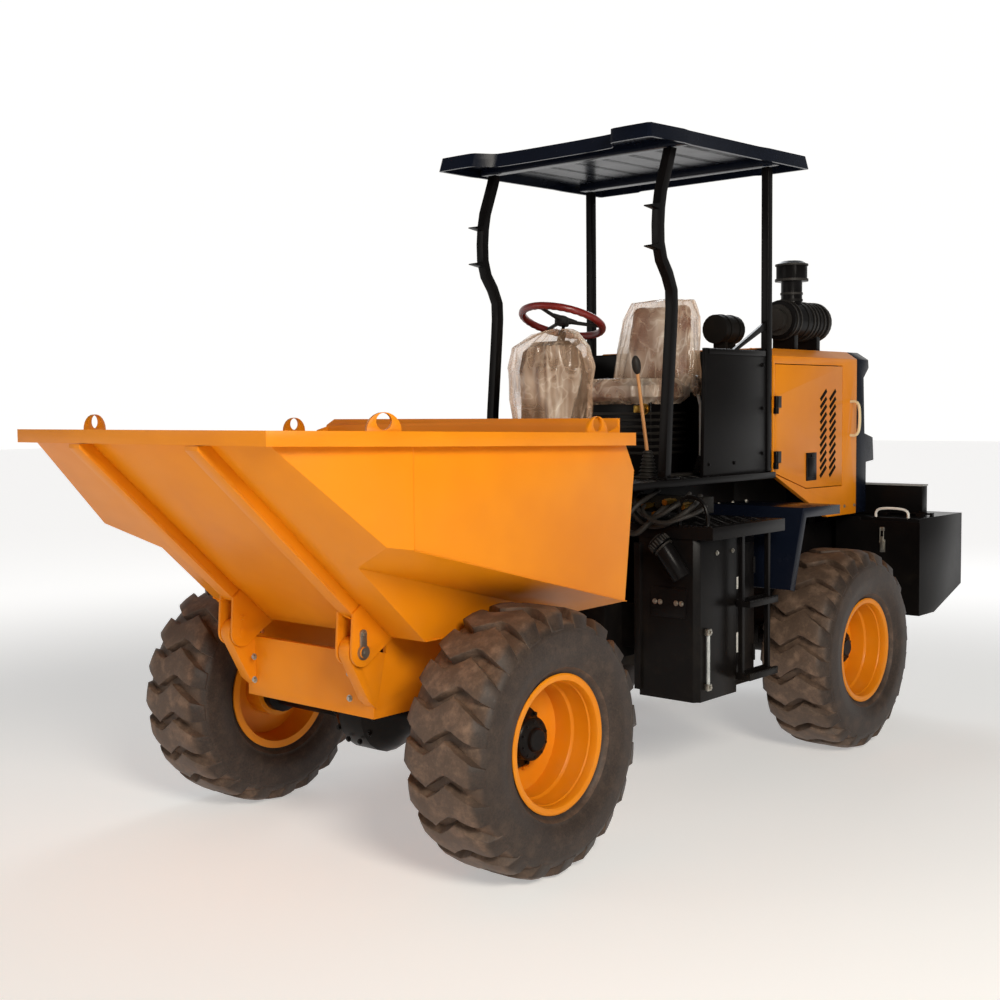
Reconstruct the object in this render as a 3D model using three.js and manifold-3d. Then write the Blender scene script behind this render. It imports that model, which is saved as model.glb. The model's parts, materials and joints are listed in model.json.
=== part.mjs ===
// An articulated site dumper: front chassis with a tipping skip, rear chassis with
// the operator's platform, canopy and engine, joined by a vertical centre pivot.
// Millimetres. +X is the machine's left, -Y is forwards, +Z is up. Lengths along Y are
// measured from the front axle, and the finished group is shifted so that the origin
// lies on the ground under the middle of the machine.
import * as THREE from 'three';
import { mergeVertices } from 'three/addons/utils/BufferGeometryUtils.js';
import { ConvexGeometry } from 'three/addons/geometries/ConvexGeometry.js';
import Module from 'manifold-3d';

const wasm = await Module();
wasm.setup();

// ---------------------------------------------------------------- driving dimensions

// Wheels and axles
const WHEELBASE = 2635;
const TRACK = 1688;
const TYRE_RADIUS = 537.5;
const TYRE_WIDTH = 410;
const RIM_SEAT_RADIUS = 254;
const RIM_FLANGE_RADIUS = 279;
const RIM_WIDTH = 330;
const WHEEL_SIDES = 32;
const HUB_RADIUS = 88;
const HUB_OUT = 66;            // outer end of the planetary hub, from the wheel's centre plane
const DISC_IN = -38;           // wheel disc's outer face, from the wheel's centre plane
const DRUM_RADIUS = 125;
const DRUM_IN = -160;          // inner end of the brake drum, from the wheel's centre plane
const AXLE_TUBE_RADIUS = 72;
const DIFF_RADIUS = 176;
const SHAFT_RADIUS = 34;

// Front chassis
const FRAME_HALF = 395;        // outer faces of the front rails
const FRAME_PLATE = 20;
const FRAME_BOTTOM = 620;
const FRAME_TOP = 878;
const FRAME_FRONT = -408;
const FRAME_REAR = 560;
const PIVOT_Y = 950;           // centre pivot between the two chassis
const PIVOT_PIN_RADIUS = 30;
const TONGUE_RADIUS = 90;

// Skip
const SKIP_HALF = 920;         // outer face of the parallel side plates
const SKIP_NOSE_HALF = 741;    // half width of the sloping front plate at the rim
const SKIP_FLARE_Y = -690;     // seam where the flared front sides meet the parallel sides
const SKIP_NOSE_Y = -1177;
const SKIP_REAR_TOP = 560;
const SKIP_REAR_CREASE = 640;
const SKIP_CREASE_Z = 1585;
const SKIP_FLOOR_HALF = 616;
const SKIP_FLOOR_Z = 945;
const SKIP_WALL = 8;
const SLOPE = 0.93;            // fall of the front plate per unit of length
const RIM_Z = 1734;            // underside of the rim at the nose
const RIM_TILT = 0.0236;       // fall of the rim towards the rear
const RIM_HEIGHT = 53;
const RIM_DEPTH = 50;          // how far the rim stands out from the side plates
const LIP_Y = -1240;
const RIM_END = 584;
const EYE_RADIUS = 66;
const EYE_HOLE = 30;
const GUARD_HEIGHT = 62;

// Tipping hinge under the nose of the skip
const TIP_Y = -487;
const TIP_Z = 905;
const TIP_PIN_RADIUS = 22;
const BOSS_RADIUS = 58;
const ARM_IN = 345;
const ARM_OUT = 403;
const EAR_GAP = 8;
const EAR_PLATE = 12;
const RIB_DEPTH = 50;

// Tipping cylinder
const TIP_BASE = [-335, 700];
const TIP_EYE = [220, 870];
const TIP_BARREL_RADIUS = 45;
const TIP_BARREL_LENGTH = 530;
const TIP_ROD_RADIUS = 25;

// Steering cylinder, on the left of the pivot
const STEER_X = 230;
const STEER_BASE_Y = 1350;
const STEER_EYE_Y = 757;
const STEER_Z = 760;
const STEER_BARREL_RADIUS = 34;
const STEER_BARREL_LENGTH = 410;
const STEER_ROD_RADIUS = 17;

// Rear chassis. Its lengths are taken with the rear axle at REAR_DATUM, and all of it
// moves back with the wheelbase.
const REAR_DATUM = 2635;
const REAR_SHIFT = WHEELBASE - REAR_DATUM;
const RAIL_OUT = 380;
const RAIL_IN = 358;
const RAIL_BOTTOM = 620;
const RAIL_TOP = 1150;
const REAR_FRAME_FRONT = 1150;
const REAR_FRAME_REAR = 3950;

// Platform, seat and controls
const DECK_TOP = 1500;
const DECK_THICK = 35;
const DECK_HALF = 630;
const DECK_FRONT = 1020;
const DECK_REAR = 2348;
const SEAT_HALF = 230;
const SEAT_FRONT = 1770;
const SEAT_TOP = DECK_TOP + 490;
const CUSHION_HEIGHT = 105;
const CONSOLE_HALF = 158;
const WHEEL_CENTRE = [1310, DECK_TOP + 790];
const WHEEL_TILT = 19;         // steering wheel's lean towards the operator, degrees
const STEERING_RADIUS = 208;

// Canopy
const POST = 45;
const FRONT_POST_X = 563;
const REAR_POST_X = 585;
const REAR_POST_Y = 2321;
const ROOF_Z = DECK_TOP + 1590;
const ROOF_EDGE = 49;

// Engine housing
const HOOD_HALF = 600;
const HOOD_FRONT = 2365;
const HOOD_REAR = 3340;
const HOOD_TOP = 2165;
const HOOD_BOTTOM = 1212;
const HOOD_WALL = 30;
const HOOD_CHAMFER = 45;
const DOOR_FRONT = 2390;
const DOOR_REAR = 3160;
const DOOR_TOP = 2075;
const DOOR_GAP = 5;
const HINGE_X = 614;
const HINGE_Y = 2378;
const HINGE_PIN_RADIUS = 7;
const HINGE_KNUCKLE = 13;

// Tanks, steps and fenders
const TANK_FRONT = 1225;
const TANK_REAR = 1570;
const TANK_IN = 530;
const TANK_OUT = 860;
const TANK_BOTTOM = 465;
const TANK_TOP = 1235;
const LOCKER_OUT = 800;          // closed locker behind the ladder
const LOCKER_REAR = 1835;
const SHELF_FRONT = 1215;
const SHELF_REAR = 1875;
const SHELF_OUT = 950;
const SHELF_TOP = 1296;
const SHELF_EDGE = 60;
const FENDER_OUT = 950;
const FENDER_PLATE = 12;

// Rear boxes
const BOX_FRONT = 3383;
const BOX_REAR = 3985;
const BOX_IN = 450;
const BOX_OUT = 980;
const BOX_BOTTOM = 624;
const BOX_TOP = 1170;
const BOX_WALL = 10;
const LID_IN = HOOD_HALF + 10;   // the lid swings up beside the rear cover
const LID_OUT = 970;
const LID_REAR = 3590;
const LID_THICK = 20;
const LID_HINGE_Z = BOX_TOP + LID_THICK + 14;

const FIT = 0.3;               // gap between pieces that rest on each other
const RUN = 0.5;               // running gap round pins, rods and shafts

const AXLE_Z = TYRE_RADIUS;
const CENTRE_Y = (LIP_Y + BOX_REAR + REAR_SHIFT) / 2;
const PIVOT_AT = PIVOT_Y + REAR_SHIFT;             // the pivot as the front chassis sees it
const STEER_EYE_AT = STEER_EYE_Y + REAR_SHIFT;
const DEGREE = Math.PI / 180;

// ---------------------------------------------------------------- making and joining solids

// A closed geometry as a solid that can be joined and cut.
function solid(geometry) {
  const bare = geometry.clone();
  bare.deleteAttribute('normal');
  bare.deleteAttribute('uv');
  const merged = mergeVertices(bare, 1e-3);
  return new wasm.Manifold(new wasm.Mesh({
    numProp: 3,
    vertProperties: Float32Array.from(merged.attributes.position.array),
    triVerts: Uint32Array.from(merged.index.array),
  }));
}

function join(first, ...others) {
  return others.reduce((whole, piece) => whole.add(piece), first);
}

function cut(first, ...others) {
  return others.reduce((whole, piece) => whole.subtract(piece), first);
}

// A box between two corners.
function block([x0, x1], [y0, y1], [z0, z1]) {
  const box = new THREE.BoxGeometry(x1 - x0, y1 - y0, z1 - z0);
  return solid(box.translate((x0 + x1) / 2, (y0 + y1) / 2, (z0 + z1) / 2));
}

// An outline pushed out along one axis. Outline points are (y, z) along X,
// (z, x) along Y and (x, y) along Z.
function prism(axis, outline, [from, to]) {
  const shape = new THREE.Shape(outline.map(([u, v]) => new THREE.Vector2(u, v)));
  const body = new THREE.ExtrudeGeometry(shape, { depth: to - from, bevelEnabled: false });
  body.translate(0, 0, from);
  const unit = { x: [1, 0, 0], y: [0, 1, 0], z: [0, 0, 1] };
  const across = { x: 'yz', y: 'zx', z: 'xy' }[axis];
  const basis = new THREE.Matrix4().makeBasis(
    new THREE.Vector3(...unit[across[0]]),
    new THREE.Vector3(...unit[across[1]]),
    new THREE.Vector3(...unit[axis]),
  );
  return solid(body.applyMatrix4(basis));
}

// A round bar between two points, or a cone where the end radius differs.
function bar(radius, from, to, sides = 20, endRadius = radius) {
  const start = new THREE.Vector3(...from);
  const run = new THREE.Vector3(...to).sub(start);
  const round = new THREE.CylinderGeometry(endRadius, radius, run.length(), sides);
  round.rotateY(Math.PI / sides);
  const turn = new THREE.Quaternion().setFromUnitVectors(
    new THREE.Vector3(0, 1, 0),
    run.clone().normalize(),
  );
  round.applyQuaternion(turn);
  return solid(round.translate(...start.addScaledVector(run, 0.5).toArray()));
}

// A turned shape round the X axis; the profile's points are (radius, x).
function turned(profile, sides) {
  const points = profile.map(([r, x]) => new THREE.Vector2(r / Math.cos(Math.PI / sides), x));
  const round = new THREE.LatheGeometry(points, sides);
  round.rotateY(Math.PI / sides);
  round.rotateZ(-Math.PI / 2);
  return solid(round);
}

// A bar of any section that follows a smooth path through the given points.
function swept(section, points, steps) {
  const path = new THREE.CatmullRomCurve3(points.map((p) => new THREE.Vector3(...p)));
  path.curveType = 'centripetal';
  const shape = new THREE.Shape(section.map(([u, v]) => new THREE.Vector2(u, v)));
  return solid(new THREE.ExtrudeGeometry(shape, { steps, bevelEnabled: false, extrudePath: path }));
}

// A regular outline with the given number of sides.
function ring(radius, sides, centre = [0, 0]) {
  return Array.from({ length: sides }, (_, i) => {
    const angle = ((i + 0.5) / sides) * 2 * Math.PI;
    return [centre[0] + radius * Math.cos(angle), centre[1] + radius * Math.sin(angle)];
  });
}

// Points of an arc, angles in degrees.
function arc(radius, centre, from, to, steps) {
  return Array.from({ length: steps + 1 }, (_, i) => {
    const angle = (from + ((to - from) * i) / steps) * DEGREE;
    return [centre[0] + radius * Math.cos(angle), centre[1] + radius * Math.sin(angle)];
  });
}

// The convex body inside a set of planes, each moved inwards by the inset.
// A plane is [normal, point].
function convex(planes, inset = 0) {
  const walls = planes.map(([normal, point, fixed]) => {
    const n = new THREE.Vector3(...normal).normalize();
    return { n, d: n.dot(new THREE.Vector3(...point)) - (fixed ? 0 : inset) };
  });
  const corners = [];
  for (let i = 0; i < walls.length; i += 1) {
    for (let j = i + 1; j < walls.length; j += 1) {
      for (let k = j + 1; k < walls.length; k += 1) {
        const [a, b, c] = [walls[i], walls[j], walls[k]];
        const det = a.n.dot(b.n.clone().cross(c.n));
        if (Math.abs(det) > 1e-6) {
          const corner = b.n.clone().cross(c.n).multiplyScalar(a.d)
            .add(c.n.clone().cross(a.n).multiplyScalar(b.d))
            .add(a.n.clone().cross(b.n).multiplyScalar(c.d))
            .divideScalar(det);
          const inside = walls.every((wall) => wall.n.dot(corner) < wall.d + 1e-4);
          if (inside && !corners.some((other) => other.distanceTo(corner) < 1e-3)) {
            corners.push(corner);
          }
        }
      }
    }
  }
  return solid(new ConvexGeometry(corners));
}

function geometryOf(body) {
  const mesh = body.getMesh();
  const geometry = new THREE.BufferGeometry();
  geometry.setAttribute('position', new THREE.BufferAttribute(mesh.vertProperties, 3));
  geometry.setIndex(new THREE.BufferAttribute(mesh.triVerts, 1));
  return geometry;
}

function mirrored(body) {
  return body.mirror([1, 0, 0]);
}

// ---------------------------------------------------------------- finishes

const finish = {
  orange: { color: 0xf39a1a, roughness: 0.4, metalness: 0.1 },
  black: { color: 0x1b1918, roughness: 0.5, metalness: 0.2 },
  navy: { color: 0x1e2836, roughness: 0.4, metalness: 0.3 },
  tyre: { color: 0x40362f, roughness: 0.95, metalness: 0 },
  steel: { color: 0xb8bcc0, roughness: 0.25, metalness: 1 },
  castIron: { color: 0x242322, roughness: 0.7, metalness: 0.4 },
  seat: { color: 0x6a4538, roughness: 0.6, metalness: 0 },
  red: { color: 0x8a2018, roughness: 0.35, metalness: 0 },
};

const machine = new THREE.Group();
machine.position.y = -CENTRE_Y;
const rearChassis = new THREE.Group();
rearChassis.position.y = REAR_SHIFT;
machine.add(rearChassis);

// Pieces join the chassis that is being built, unless they name another parent.
let chassis = machine;
function add(name, body, look, parent = chassis) {
  const mesh = new THREE.Mesh(geometryOf(body), new THREE.MeshStandardMaterial(finish[look]));
  mesh.name = name;
  parent.add(mesh);
  return mesh;
}

// ---------------------------------------------------------------- wheels and axles

// The tyre's outer shape over its lugs, filled down to the rim seat.
function tyreBody() {
  const half = TYRE_WIDTH / 2;
  const bead = RIM_WIDTH / 2 - 4;
  const sidewall = [
    [RIM_SEAT_RADIUS + RUN, bead],
    [RIM_FLANGE_RADIUS + 6, bead],
    [RIM_FLANGE_RADIUS + 40, half - 14],
    [TYRE_RADIUS * 0.7, half],
    [TYRE_RADIUS * 0.84, half - 4],
    [TYRE_RADIUS * 0.945, half - 20],
    [TYRE_RADIUS, half - 52],
  ];
  const other = sidewall.map(([r, x]) => [r, -x]).reverse();
  return turned([...sidewall, ...other, sidewall[0]].reverse(), WHEEL_SIDES);
}

// The deep-dished rim with its disc, planetary hub and brake drum.
function rimBody() {
  const half = RIM_WIDTH / 2;
  const flange = 8;
  const shell = 9;
  const well = 18;
  return turned([
    [0, HUB_OUT],
    [HUB_RADIUS * 0.7, HUB_OUT],
    [HUB_RADIUS, HUB_OUT - 22],
    [HUB_RADIUS, DISC_IN + 14],
    [HUB_RADIUS + 34, DISC_IN + 14],
    [HUB_RADIUS + 34, DISC_IN],
    [RIM_SEAT_RADIUS - well - shell, DISC_IN],
    [RIM_SEAT_RADIUS - well - shell, 40],
    [RIM_SEAT_RADIUS - shell, 62],
    [RIM_SEAT_RADIUS - shell, half - 4],
    [RIM_FLANGE_RADIUS - flange, half + flange],
    [RIM_FLANGE_RADIUS, half + flange],
    [RIM_FLANGE_RADIUS, half],
    [RIM_SEAT_RADIUS, half],
    [RIM_SEAT_RADIUS, -half],
    [RIM_FLANGE_RADIUS, -half],
    [RIM_FLANGE_RADIUS, -half - flange],
    [RIM_SEAT_RADIUS - shell, -half - flange],
    [RIM_SEAT_RADIUS - well - shell, DISC_IN - 40],
    [RIM_SEAT_RADIUS - well - shell, DISC_IN - 12],
    [DRUM_RADIUS, DISC_IN - 12],
    [DRUM_RADIUS, DRUM_IN],
    [0, DRUM_IN],
  ].reverse(), WHEEL_SIDES);
}

const tyre = tyreBody();
const rim = rimBody();
for (const [end, wheelY] of [['front', 0], ['rear', WHEELBASE]]) {
  for (const [side, sign] of [['left', 1], ['right', -1]]) {
    const wheel = new THREE.Group();
    wheel.position.set((sign * TRACK) / 2, wheelY, AXLE_Z);
    add(`${end}_${side}_tyre`, tyre, 'tyre', wheel);
    add(`${end}_${side}_rim`, sign > 0 ? rim : mirrored(rim), 'orange', wheel);
    machine.add(wheel);
  }
}

// Rigid drive axle: tube, round differential, mounting pads and the pinion housing,
// which points back on the front axle and forwards on the rear one.
const PINION_REACH = 300;
function axleBody(pinionSign) {
  const end = TRACK / 2 + DRUM_IN - RUN;
  const half = turned([
    [0, 0],
    [DIFF_RADIUS, 0],
    [DIFF_RADIUS, 70],
    [DIFF_RADIUS * 0.78, 135],
    [AXLE_TUBE_RADIUS + 18, 190],
    [AXLE_TUBE_RADIUS, 240],
    [AXLE_TUBE_RADIUS, end - 50],
    [AXLE_TUBE_RADIUS + 30, end - 40],
    [AXLE_TUBE_RADIUS + 30, end],
    [0, end],
  ], 20);
  const padTop = FRAME_BOTTOM - AXLE_Z;
  const pad = block([RAIL_IN - 40, FRAME_HALF + 5], [-75, 75], [-20, padTop - FIT]);
  const nose = bar(86, [0, 0, 0], [0, pinionSign * (PINION_REACH - 60), 0], 16, 60);
  const flange = bar(62, [0, pinionSign * (PINION_REACH - 62), 0], [0, pinionSign * PINION_REACH, 0], 16);
  return join(half, mirrored(half), pad, mirrored(pad), nose, flange);
}
const frontAxle = add('front_axle', axleBody(1), 'black');
frontAxle.position.set(0, 0, AXLE_Z);
const rearAxle = add('rear_axle', axleBody(-1), 'black');
rearAxle.position.set(0, WHEELBASE, AXLE_Z);

// ---------------------------------------------------------------- front chassis

const FRONT_CROSS = 18;
function frontFrame() {
  const rail = prism('x', [
    [FRAME_FRONT, FRAME_BOTTOM],
    [FRAME_REAR, FRAME_BOTTOM],
    [FRAME_REAR, FRAME_TOP],
    [FRAME_FRONT + 20, FRAME_TOP],
  ], [FRAME_HALF - FRAME_PLATE, FRAME_HALF]);
  // Behind the hinge arms the rail stands up to just below the skip's floor.
  const upstand = block(
    [FRAME_HALF - FRAME_PLATE, FRAME_HALF],
    [FRAME_FRONT + 75, FRAME_REAR],
    [FRAME_TOP - 5, SKIP_FLOOR_Z - 15],
  );
  const nosePlate = prism('x', [
    [FRAME_FRONT, FRAME_BOTTOM],
    [FRAME_FRONT + FRAME_PLATE, FRAME_BOTTOM],
    [FRAME_FRONT + FRAME_PLATE, FRAME_TOP],
    [FRAME_FRONT, FRAME_TOP],
  ], [-FRAME_HALF, FRAME_HALF]);
  const rearPlate = block(
    [-FRAME_HALF, FRAME_HALF],
    [FRAME_REAR - FRAME_PLATE, FRAME_REAR],
    [FRAME_BOTTOM, FRAME_TOP],
  );
  const arm = cut(
    prism('x', [
      ...arc(BOSS_RADIUS, [TIP_Y, TIP_Z], 60, 200, 8),
      [FRAME_FRONT - 34, FRAME_BOTTOM + 80],
      [FRAME_FRONT + 10, FRAME_BOTTOM + 40],
      [FRAME_FRONT + 60, FRAME_TOP],
      [FRAME_FRONT + 10, FRAME_TOP + 20],
    ], [ARM_IN, ARM_OUT]),
    bar(TIP_PIN_RADIUS + RUN, [ARM_IN - 5, TIP_Y, TIP_Z], [ARM_OUT + 5, TIP_Y, TIP_Z], 24),
  );
  const stop = block(
    [FRAME_HALF - 70, FRAME_HALF],
    [FRAME_REAR - 160, FRAME_REAR - 80],
    [FRAME_TOP - 30, SKIP_FLOOR_Z - FIT],
  );
  const tongueOutline = [
    [-300, FRAME_REAR - 5],
    [300, FRAME_REAR - 5],
    ...arc(TONGUE_RADIUS, [0, PIVOT_AT], -20, 200, 14),
  ];
  const pinHole = bar(
    PIVOT_PIN_RADIUS + RUN,
    [0, PIVOT_AT, FRAME_BOTTOM],
    [0, PIVOT_AT, FRAME_TOP + 20],
    24,
  );
  const upper = prism('z', tongueOutline, [FRAME_TOP - 38, FRAME_TOP - 8]);
  const lower = prism('z', tongueOutline, [FRAME_BOTTOM + 30, FRAME_BOTTOM + 60]);
  const lug = cut(
    join(
      prism('x', [
        ...arc(36, TIP_BASE, -90, 90, 8),
        [FRAME_FRONT + 10, TIP_BASE[1] + 50],
        [FRAME_FRONT + 10, TIP_BASE[1] - 50],
      ], [TIP_BARREL_RADIUS + 6, TIP_BARREL_RADIUS + 22]),
    ),
  );
  const tipPin = bar(
    TIP_PIN_RADIUS,
    [-TIP_BARREL_RADIUS - 28, ...TIP_BASE],
    [TIP_BARREL_RADIUS + 28, ...TIP_BASE],
    20,
  );
  // The steering rod's clevis stands between the tongues, on the left.
  const steerLug = prism('z', [
    [STEER_X - 40, FRAME_REAR - 5],
    [STEER_X + 40, FRAME_REAR - 5],
    ...arc(30, [STEER_X, STEER_EYE_AT], 0, 180, 8),
  ], [STEER_Z + 26, STEER_Z + 40]);
  const steerLugLow = prism('z', [
    [STEER_X - 40, FRAME_REAR - 5],
    [STEER_X + 40, FRAME_REAR - 5],
    ...arc(30, [STEER_X, STEER_EYE_AT], 0, 180, 8),
  ], [STEER_Z - 40, STEER_Z - 26]);
  return join(
    cut(join(upper, lower), pinHole),
    rail, mirrored(rail), upstand, mirrored(upstand), nosePlate, rearPlate,
    arm, mirrored(arm), stop, mirrored(stop),
    lug, mirrored(lug), tipPin, steerLug, steerLugLow,
  );
}
add('front_frame', frontFrame(), 'orange');

// Propeller shaft of the front axle, ending in the eye of the joint under the pivot.
function frontShaft() {
  return join(
    bar(62, [0, PINION_REACH + FIT, AXLE_Z], [0, PINION_REACH + 20, AXLE_Z], 16),
    bar(SHAFT_RADIUS, [0, PINION_REACH + 15, AXLE_Z], [0, PIVOT_AT - 10, AXLE_Z], 16),
    bar(37, [0, PIVOT_AT, AXLE_Z - 39], [0, PIVOT_AT, AXLE_Z + 39], 16),
  );
}
add('front_driveshaft', frontShaft(), 'castIron');

// ---------------------------------------------------------------- skip

// Planes of the upper tub, its sides parallel behind the seam and flared in front of it.
const flareNormal = [SKIP_FLARE_Y - SKIP_NOSE_Y, SKIP_NOSE_HALF - SKIP_HALF, 0];
const slopeNormal = [0, -SLOPE, -1];
const slopePoint = [0, -1169, 1721];
const slopeLength = Math.hypot(1, SLOPE);
// Where a face lifted off the front plate by the offset reaches a height, and its height at a place.
const slopeZ = (y, offset) => slopePoint[2] - SLOPE * (y - slopePoint[1]) - offset * slopeLength;
const slopeY = (z, offset) => slopePoint[1] + (slopePoint[2] - z - offset * slopeLength) / SLOPE;
const flareRate = (SKIP_HALF - SKIP_NOSE_HALF) / (SKIP_FLARE_Y - SKIP_NOSE_Y);
const LEDGE_FALL = 0.258;
const LEDGE_OUT_Z = 1354;      // lower edge of the side plate at the seam
const LEDGE_IN_Z = 1272;       // inner edge of the ledge at the seam
const ledgeRise = (LEDGE_OUT_Z - LEDGE_IN_Z) / (SKIP_HALF - SKIP_FLOOR_HALF);
const rearUpper = [
  [0, SKIP_CREASE_Z - RIM_Z, SKIP_REAR_TOP - SKIP_REAR_CREASE].map((v) => -v),
  [0, SKIP_REAR_CREASE, SKIP_CREASE_Z],
];
const SKIP_REAR_FOOT = 560;
const rearLower = [
  [0, SKIP_CREASE_Z - SKIP_FLOOR_Z, SKIP_REAR_FOOT - SKIP_REAR_CREASE],
  [0, SKIP_REAR_CREASE, SKIP_CREASE_Z],
];

function skipVolume(inset, topZ) {
  const upper = convex([
    [[1, 0, 0], [SKIP_HALF, 0, 0]],
    [[-1, 0, 0], [-SKIP_HALF, 0, 0]],
    [flareNormal, [SKIP_HALF, SKIP_FLARE_Y, 0]],
    [[-flareNormal[0], flareNormal[1], 0], [-SKIP_HALF, SKIP_FLARE_Y, 0]],
    [[ledgeRise, -LEDGE_FALL, -1], [SKIP_HALF, SKIP_FLARE_Y, LEDGE_OUT_Z]],
    [[-ledgeRise, -LEDGE_FALL, -1], [-SKIP_HALF, SKIP_FLARE_Y, LEDGE_OUT_Z]],
    [[0, -LEDGE_FALL, -1], [0, SKIP_FLARE_Y, LEDGE_IN_Z]],
    [slopeNormal, slopePoint],
    rearUpper,
    rearLower,
    [[0, RIM_TILT, 1], [0, SKIP_NOSE_Y, topZ], true],
  ], inset);
  const lower = convex([
    [[1, 0, 0], [SKIP_FLOOR_HALF, 0, 0]],
    [[-1, 0, 0], [-SKIP_FLOOR_HALF, 0, 0]],
    [[0, 0, -1], [0, 0, SKIP_FLOOR_Z]],
    [slopeNormal, slopePoint],
    rearLower,
    [[0, 0, 1], [0, 0, LEDGE_IN_Z + 30], true],
  ], inset);
  return upper.add(lower);
}

// Two lugs under the floor for the tipping rod's eye.
function skipLug() {
  return prism('x', [
    [TIP_EYE[0] - 60, SKIP_FLOOR_Z + 4],
    ...arc(34, TIP_EYE, 180, 360, 8),
    [TIP_EYE[0] + 60, SKIP_FLOOR_Z + 4],
  ], [TIP_BARREL_RADIUS - 13, TIP_BARREL_RADIUS + 7]);
}
const skipShell = join(
  cut(skipVolume(0, RIM_Z + 6), skipVolume(SKIP_WALL, RIM_Z + 400)),
  skipLug(),
  mirrored(skipLug()),
);
add('skip_shell', skipShell, 'orange');

// Height of the rim's underside at a distance from the front axle.
const rimZ = (y) => RIM_Z - RIM_TILT * (y - SKIP_NOSE_Y);

// The box-section rim round the nose and sides, with the four lifting eyes on it.
function skipRim() {
  const bendOut = [SKIP_HALF + RIM_DEPTH, SKIP_FLARE_Y + 3];
  const noseOut = [SKIP_NOSE_HALF + 46, LIP_Y];
  const bendIn = [SKIP_HALF + FIT, SKIP_FLARE_Y];
  const noseInY = slopeY(RIM_Z + 7, FIT);
  const noseIn = [SKIP_HALF + FIT - (SKIP_FLARE_Y - noseInY) * flareRate, noseInY];
  const halfOut = [[SKIP_HALF + RIM_DEPTH, RIM_END], bendOut, noseOut];
  const halfIn = [noseIn, bendIn, [SKIP_HALF + FIT, RIM_END]];
  const flipX = ([x, y]) => [-x, y];
  const outline = [
    ...halfOut,
    ...halfOut.map(flipX).reverse(),
    ...halfIn.map(flipX).reverse(),
    ...halfIn,
  ];
  // The rim is pushed up from a level outline and then leaned with the tub's top edge.
  const lean = (body) => body.warp((v) => {
    v[2] += RIM_Z - RIM_TILT * (v[1] - SKIP_NOSE_Y);
  });
  const band = lean(prism('z', outline, [0, RIM_HEIGHT]));
  const eye = (y, x, turn) => {
    const plate = cut(
      prism('x', [
        ...arc(EYE_RADIUS, [0, 0], 0, 180, 12),
        [-EYE_RADIUS, -RIM_HEIGHT / 2],
        [EYE_RADIUS, -RIM_HEIGHT / 2],
      ], [-8, 8]),
      bar(EYE_HOLE, [-10, 0, EYE_HOLE + 4], [10, 0, EYE_HOLE + 4], 16),
    );
    return plate.rotate([0, 0, turn]).translate([x, y, rimZ(y) + RIM_HEIGHT]);
  };
  const flareTurn = (Math.atan2(SKIP_NOSE_HALF - SKIP_HALF, SKIP_FLARE_Y - SKIP_NOSE_Y) / DEGREE);
  const eyeY = -815;
  const eyeX = SKIP_HALF + RIM_DEPTH / 2 - (SKIP_FLARE_Y - eyeY) * flareRate;
  const frontEye = eye(eyeY, eyeX, flareTurn);
  const rearEye = eye(340, SKIP_HALF + RIM_DEPTH / 2, 0);
  return join(band, frontEye, mirrored(frontEye), rearEye, mirrored(rearEye));
}
add('skip_rim', skipRim(), 'orange');

// Raised board along the rear edge, which keeps the load off the operator.
function spillGuard() {
  const foot0 = SKIP_REAR_TOP - 30;
  const low = rimZ(foot0) + 6 + FIT;
  const top = low + RIM_HEIGHT + GUARD_HEIGHT - 8;
  const half = SKIP_HALF - 2;
  const board = prism('y', [
    [low + 5, -half],
    [low + 5, half],
    [top, half],
    [top, -half + 60],
    [top - 30, -half],
  ], [foot0, foot0 + 12]);
  const foot = block([-half, half], [foot0, SKIP_REAR_TOP - 2], [low, low + 6]);
  const gusset = prism('x', [
    [foot0 + 4, low + 3],
    [foot0 + 4, top - 36],
    [foot0 - 66, low + RIM_HEIGHT],
    [foot0 - 66, low + 3],
  ], [half - 10, half]);
  return join(board, foot, gusset, mirrored(gusset));
}
add('spill_guard', spillGuard(), 'orange');

// One channel rib down the front plate, with its two hinge ears and the tipping pin.
function hingeRib() {
  const top = RIM_Z - FIT - 1;
  const low = TIP_Z + 140;
  const rib = prism('x', [
    [slopeY(top, FIT), top],
    [LIP_Y + 3, top],
    [LIP_Y + 3, slopeZ(LIP_Y + 3, RIB_DEPTH)],
    [slopeY(low, RIB_DEPTH), low],
    [slopeY(low, FIT), low],
  ], [ARM_IN - EAR_GAP, ARM_OUT + EAR_GAP]);
  const earTop = TIP_Z + 157;
  const earOutline = [
    [slopeY(earTop, RIB_DEPTH), earTop],
    ...arc(BOSS_RADIUS, [TIP_Y, TIP_Z], 172, 300, 10),
    [TIP_Y + 92, TIP_Z - 8],
    [slopeY(SKIP_FLOOR_Z, 0) + 22, SKIP_FLOOR_Z - FIT],
    [slopeY(SKIP_FLOOR_Z, 0) - FIT, SKIP_FLOOR_Z - FIT],
    [slopeY(earTop + 30, FIT), earTop + 30],
  ];
  const earIn = prism('x', earOutline, [ARM_IN - EAR_GAP - EAR_PLATE, ARM_IN - EAR_GAP]);
  const earOut = prism('x', earOutline, [ARM_OUT + EAR_GAP, ARM_OUT + EAR_GAP + EAR_PLATE]);
  const pin = bar(
    TIP_PIN_RADIUS,
    [ARM_IN - EAR_GAP - EAR_PLATE - 4, TIP_Y, TIP_Z],
    [ARM_OUT + EAR_GAP + EAR_PLATE + 14, TIP_Y, TIP_Z],
    24,
  );
  return join(rib, earIn, earOut, pin);
}
add('left_hinge_rib', hingeRib(), 'orange');
add('right_hinge_rib', mirrored(hingeRib()), 'orange');

// ---------------------------------------------------------------- cylinders

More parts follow.
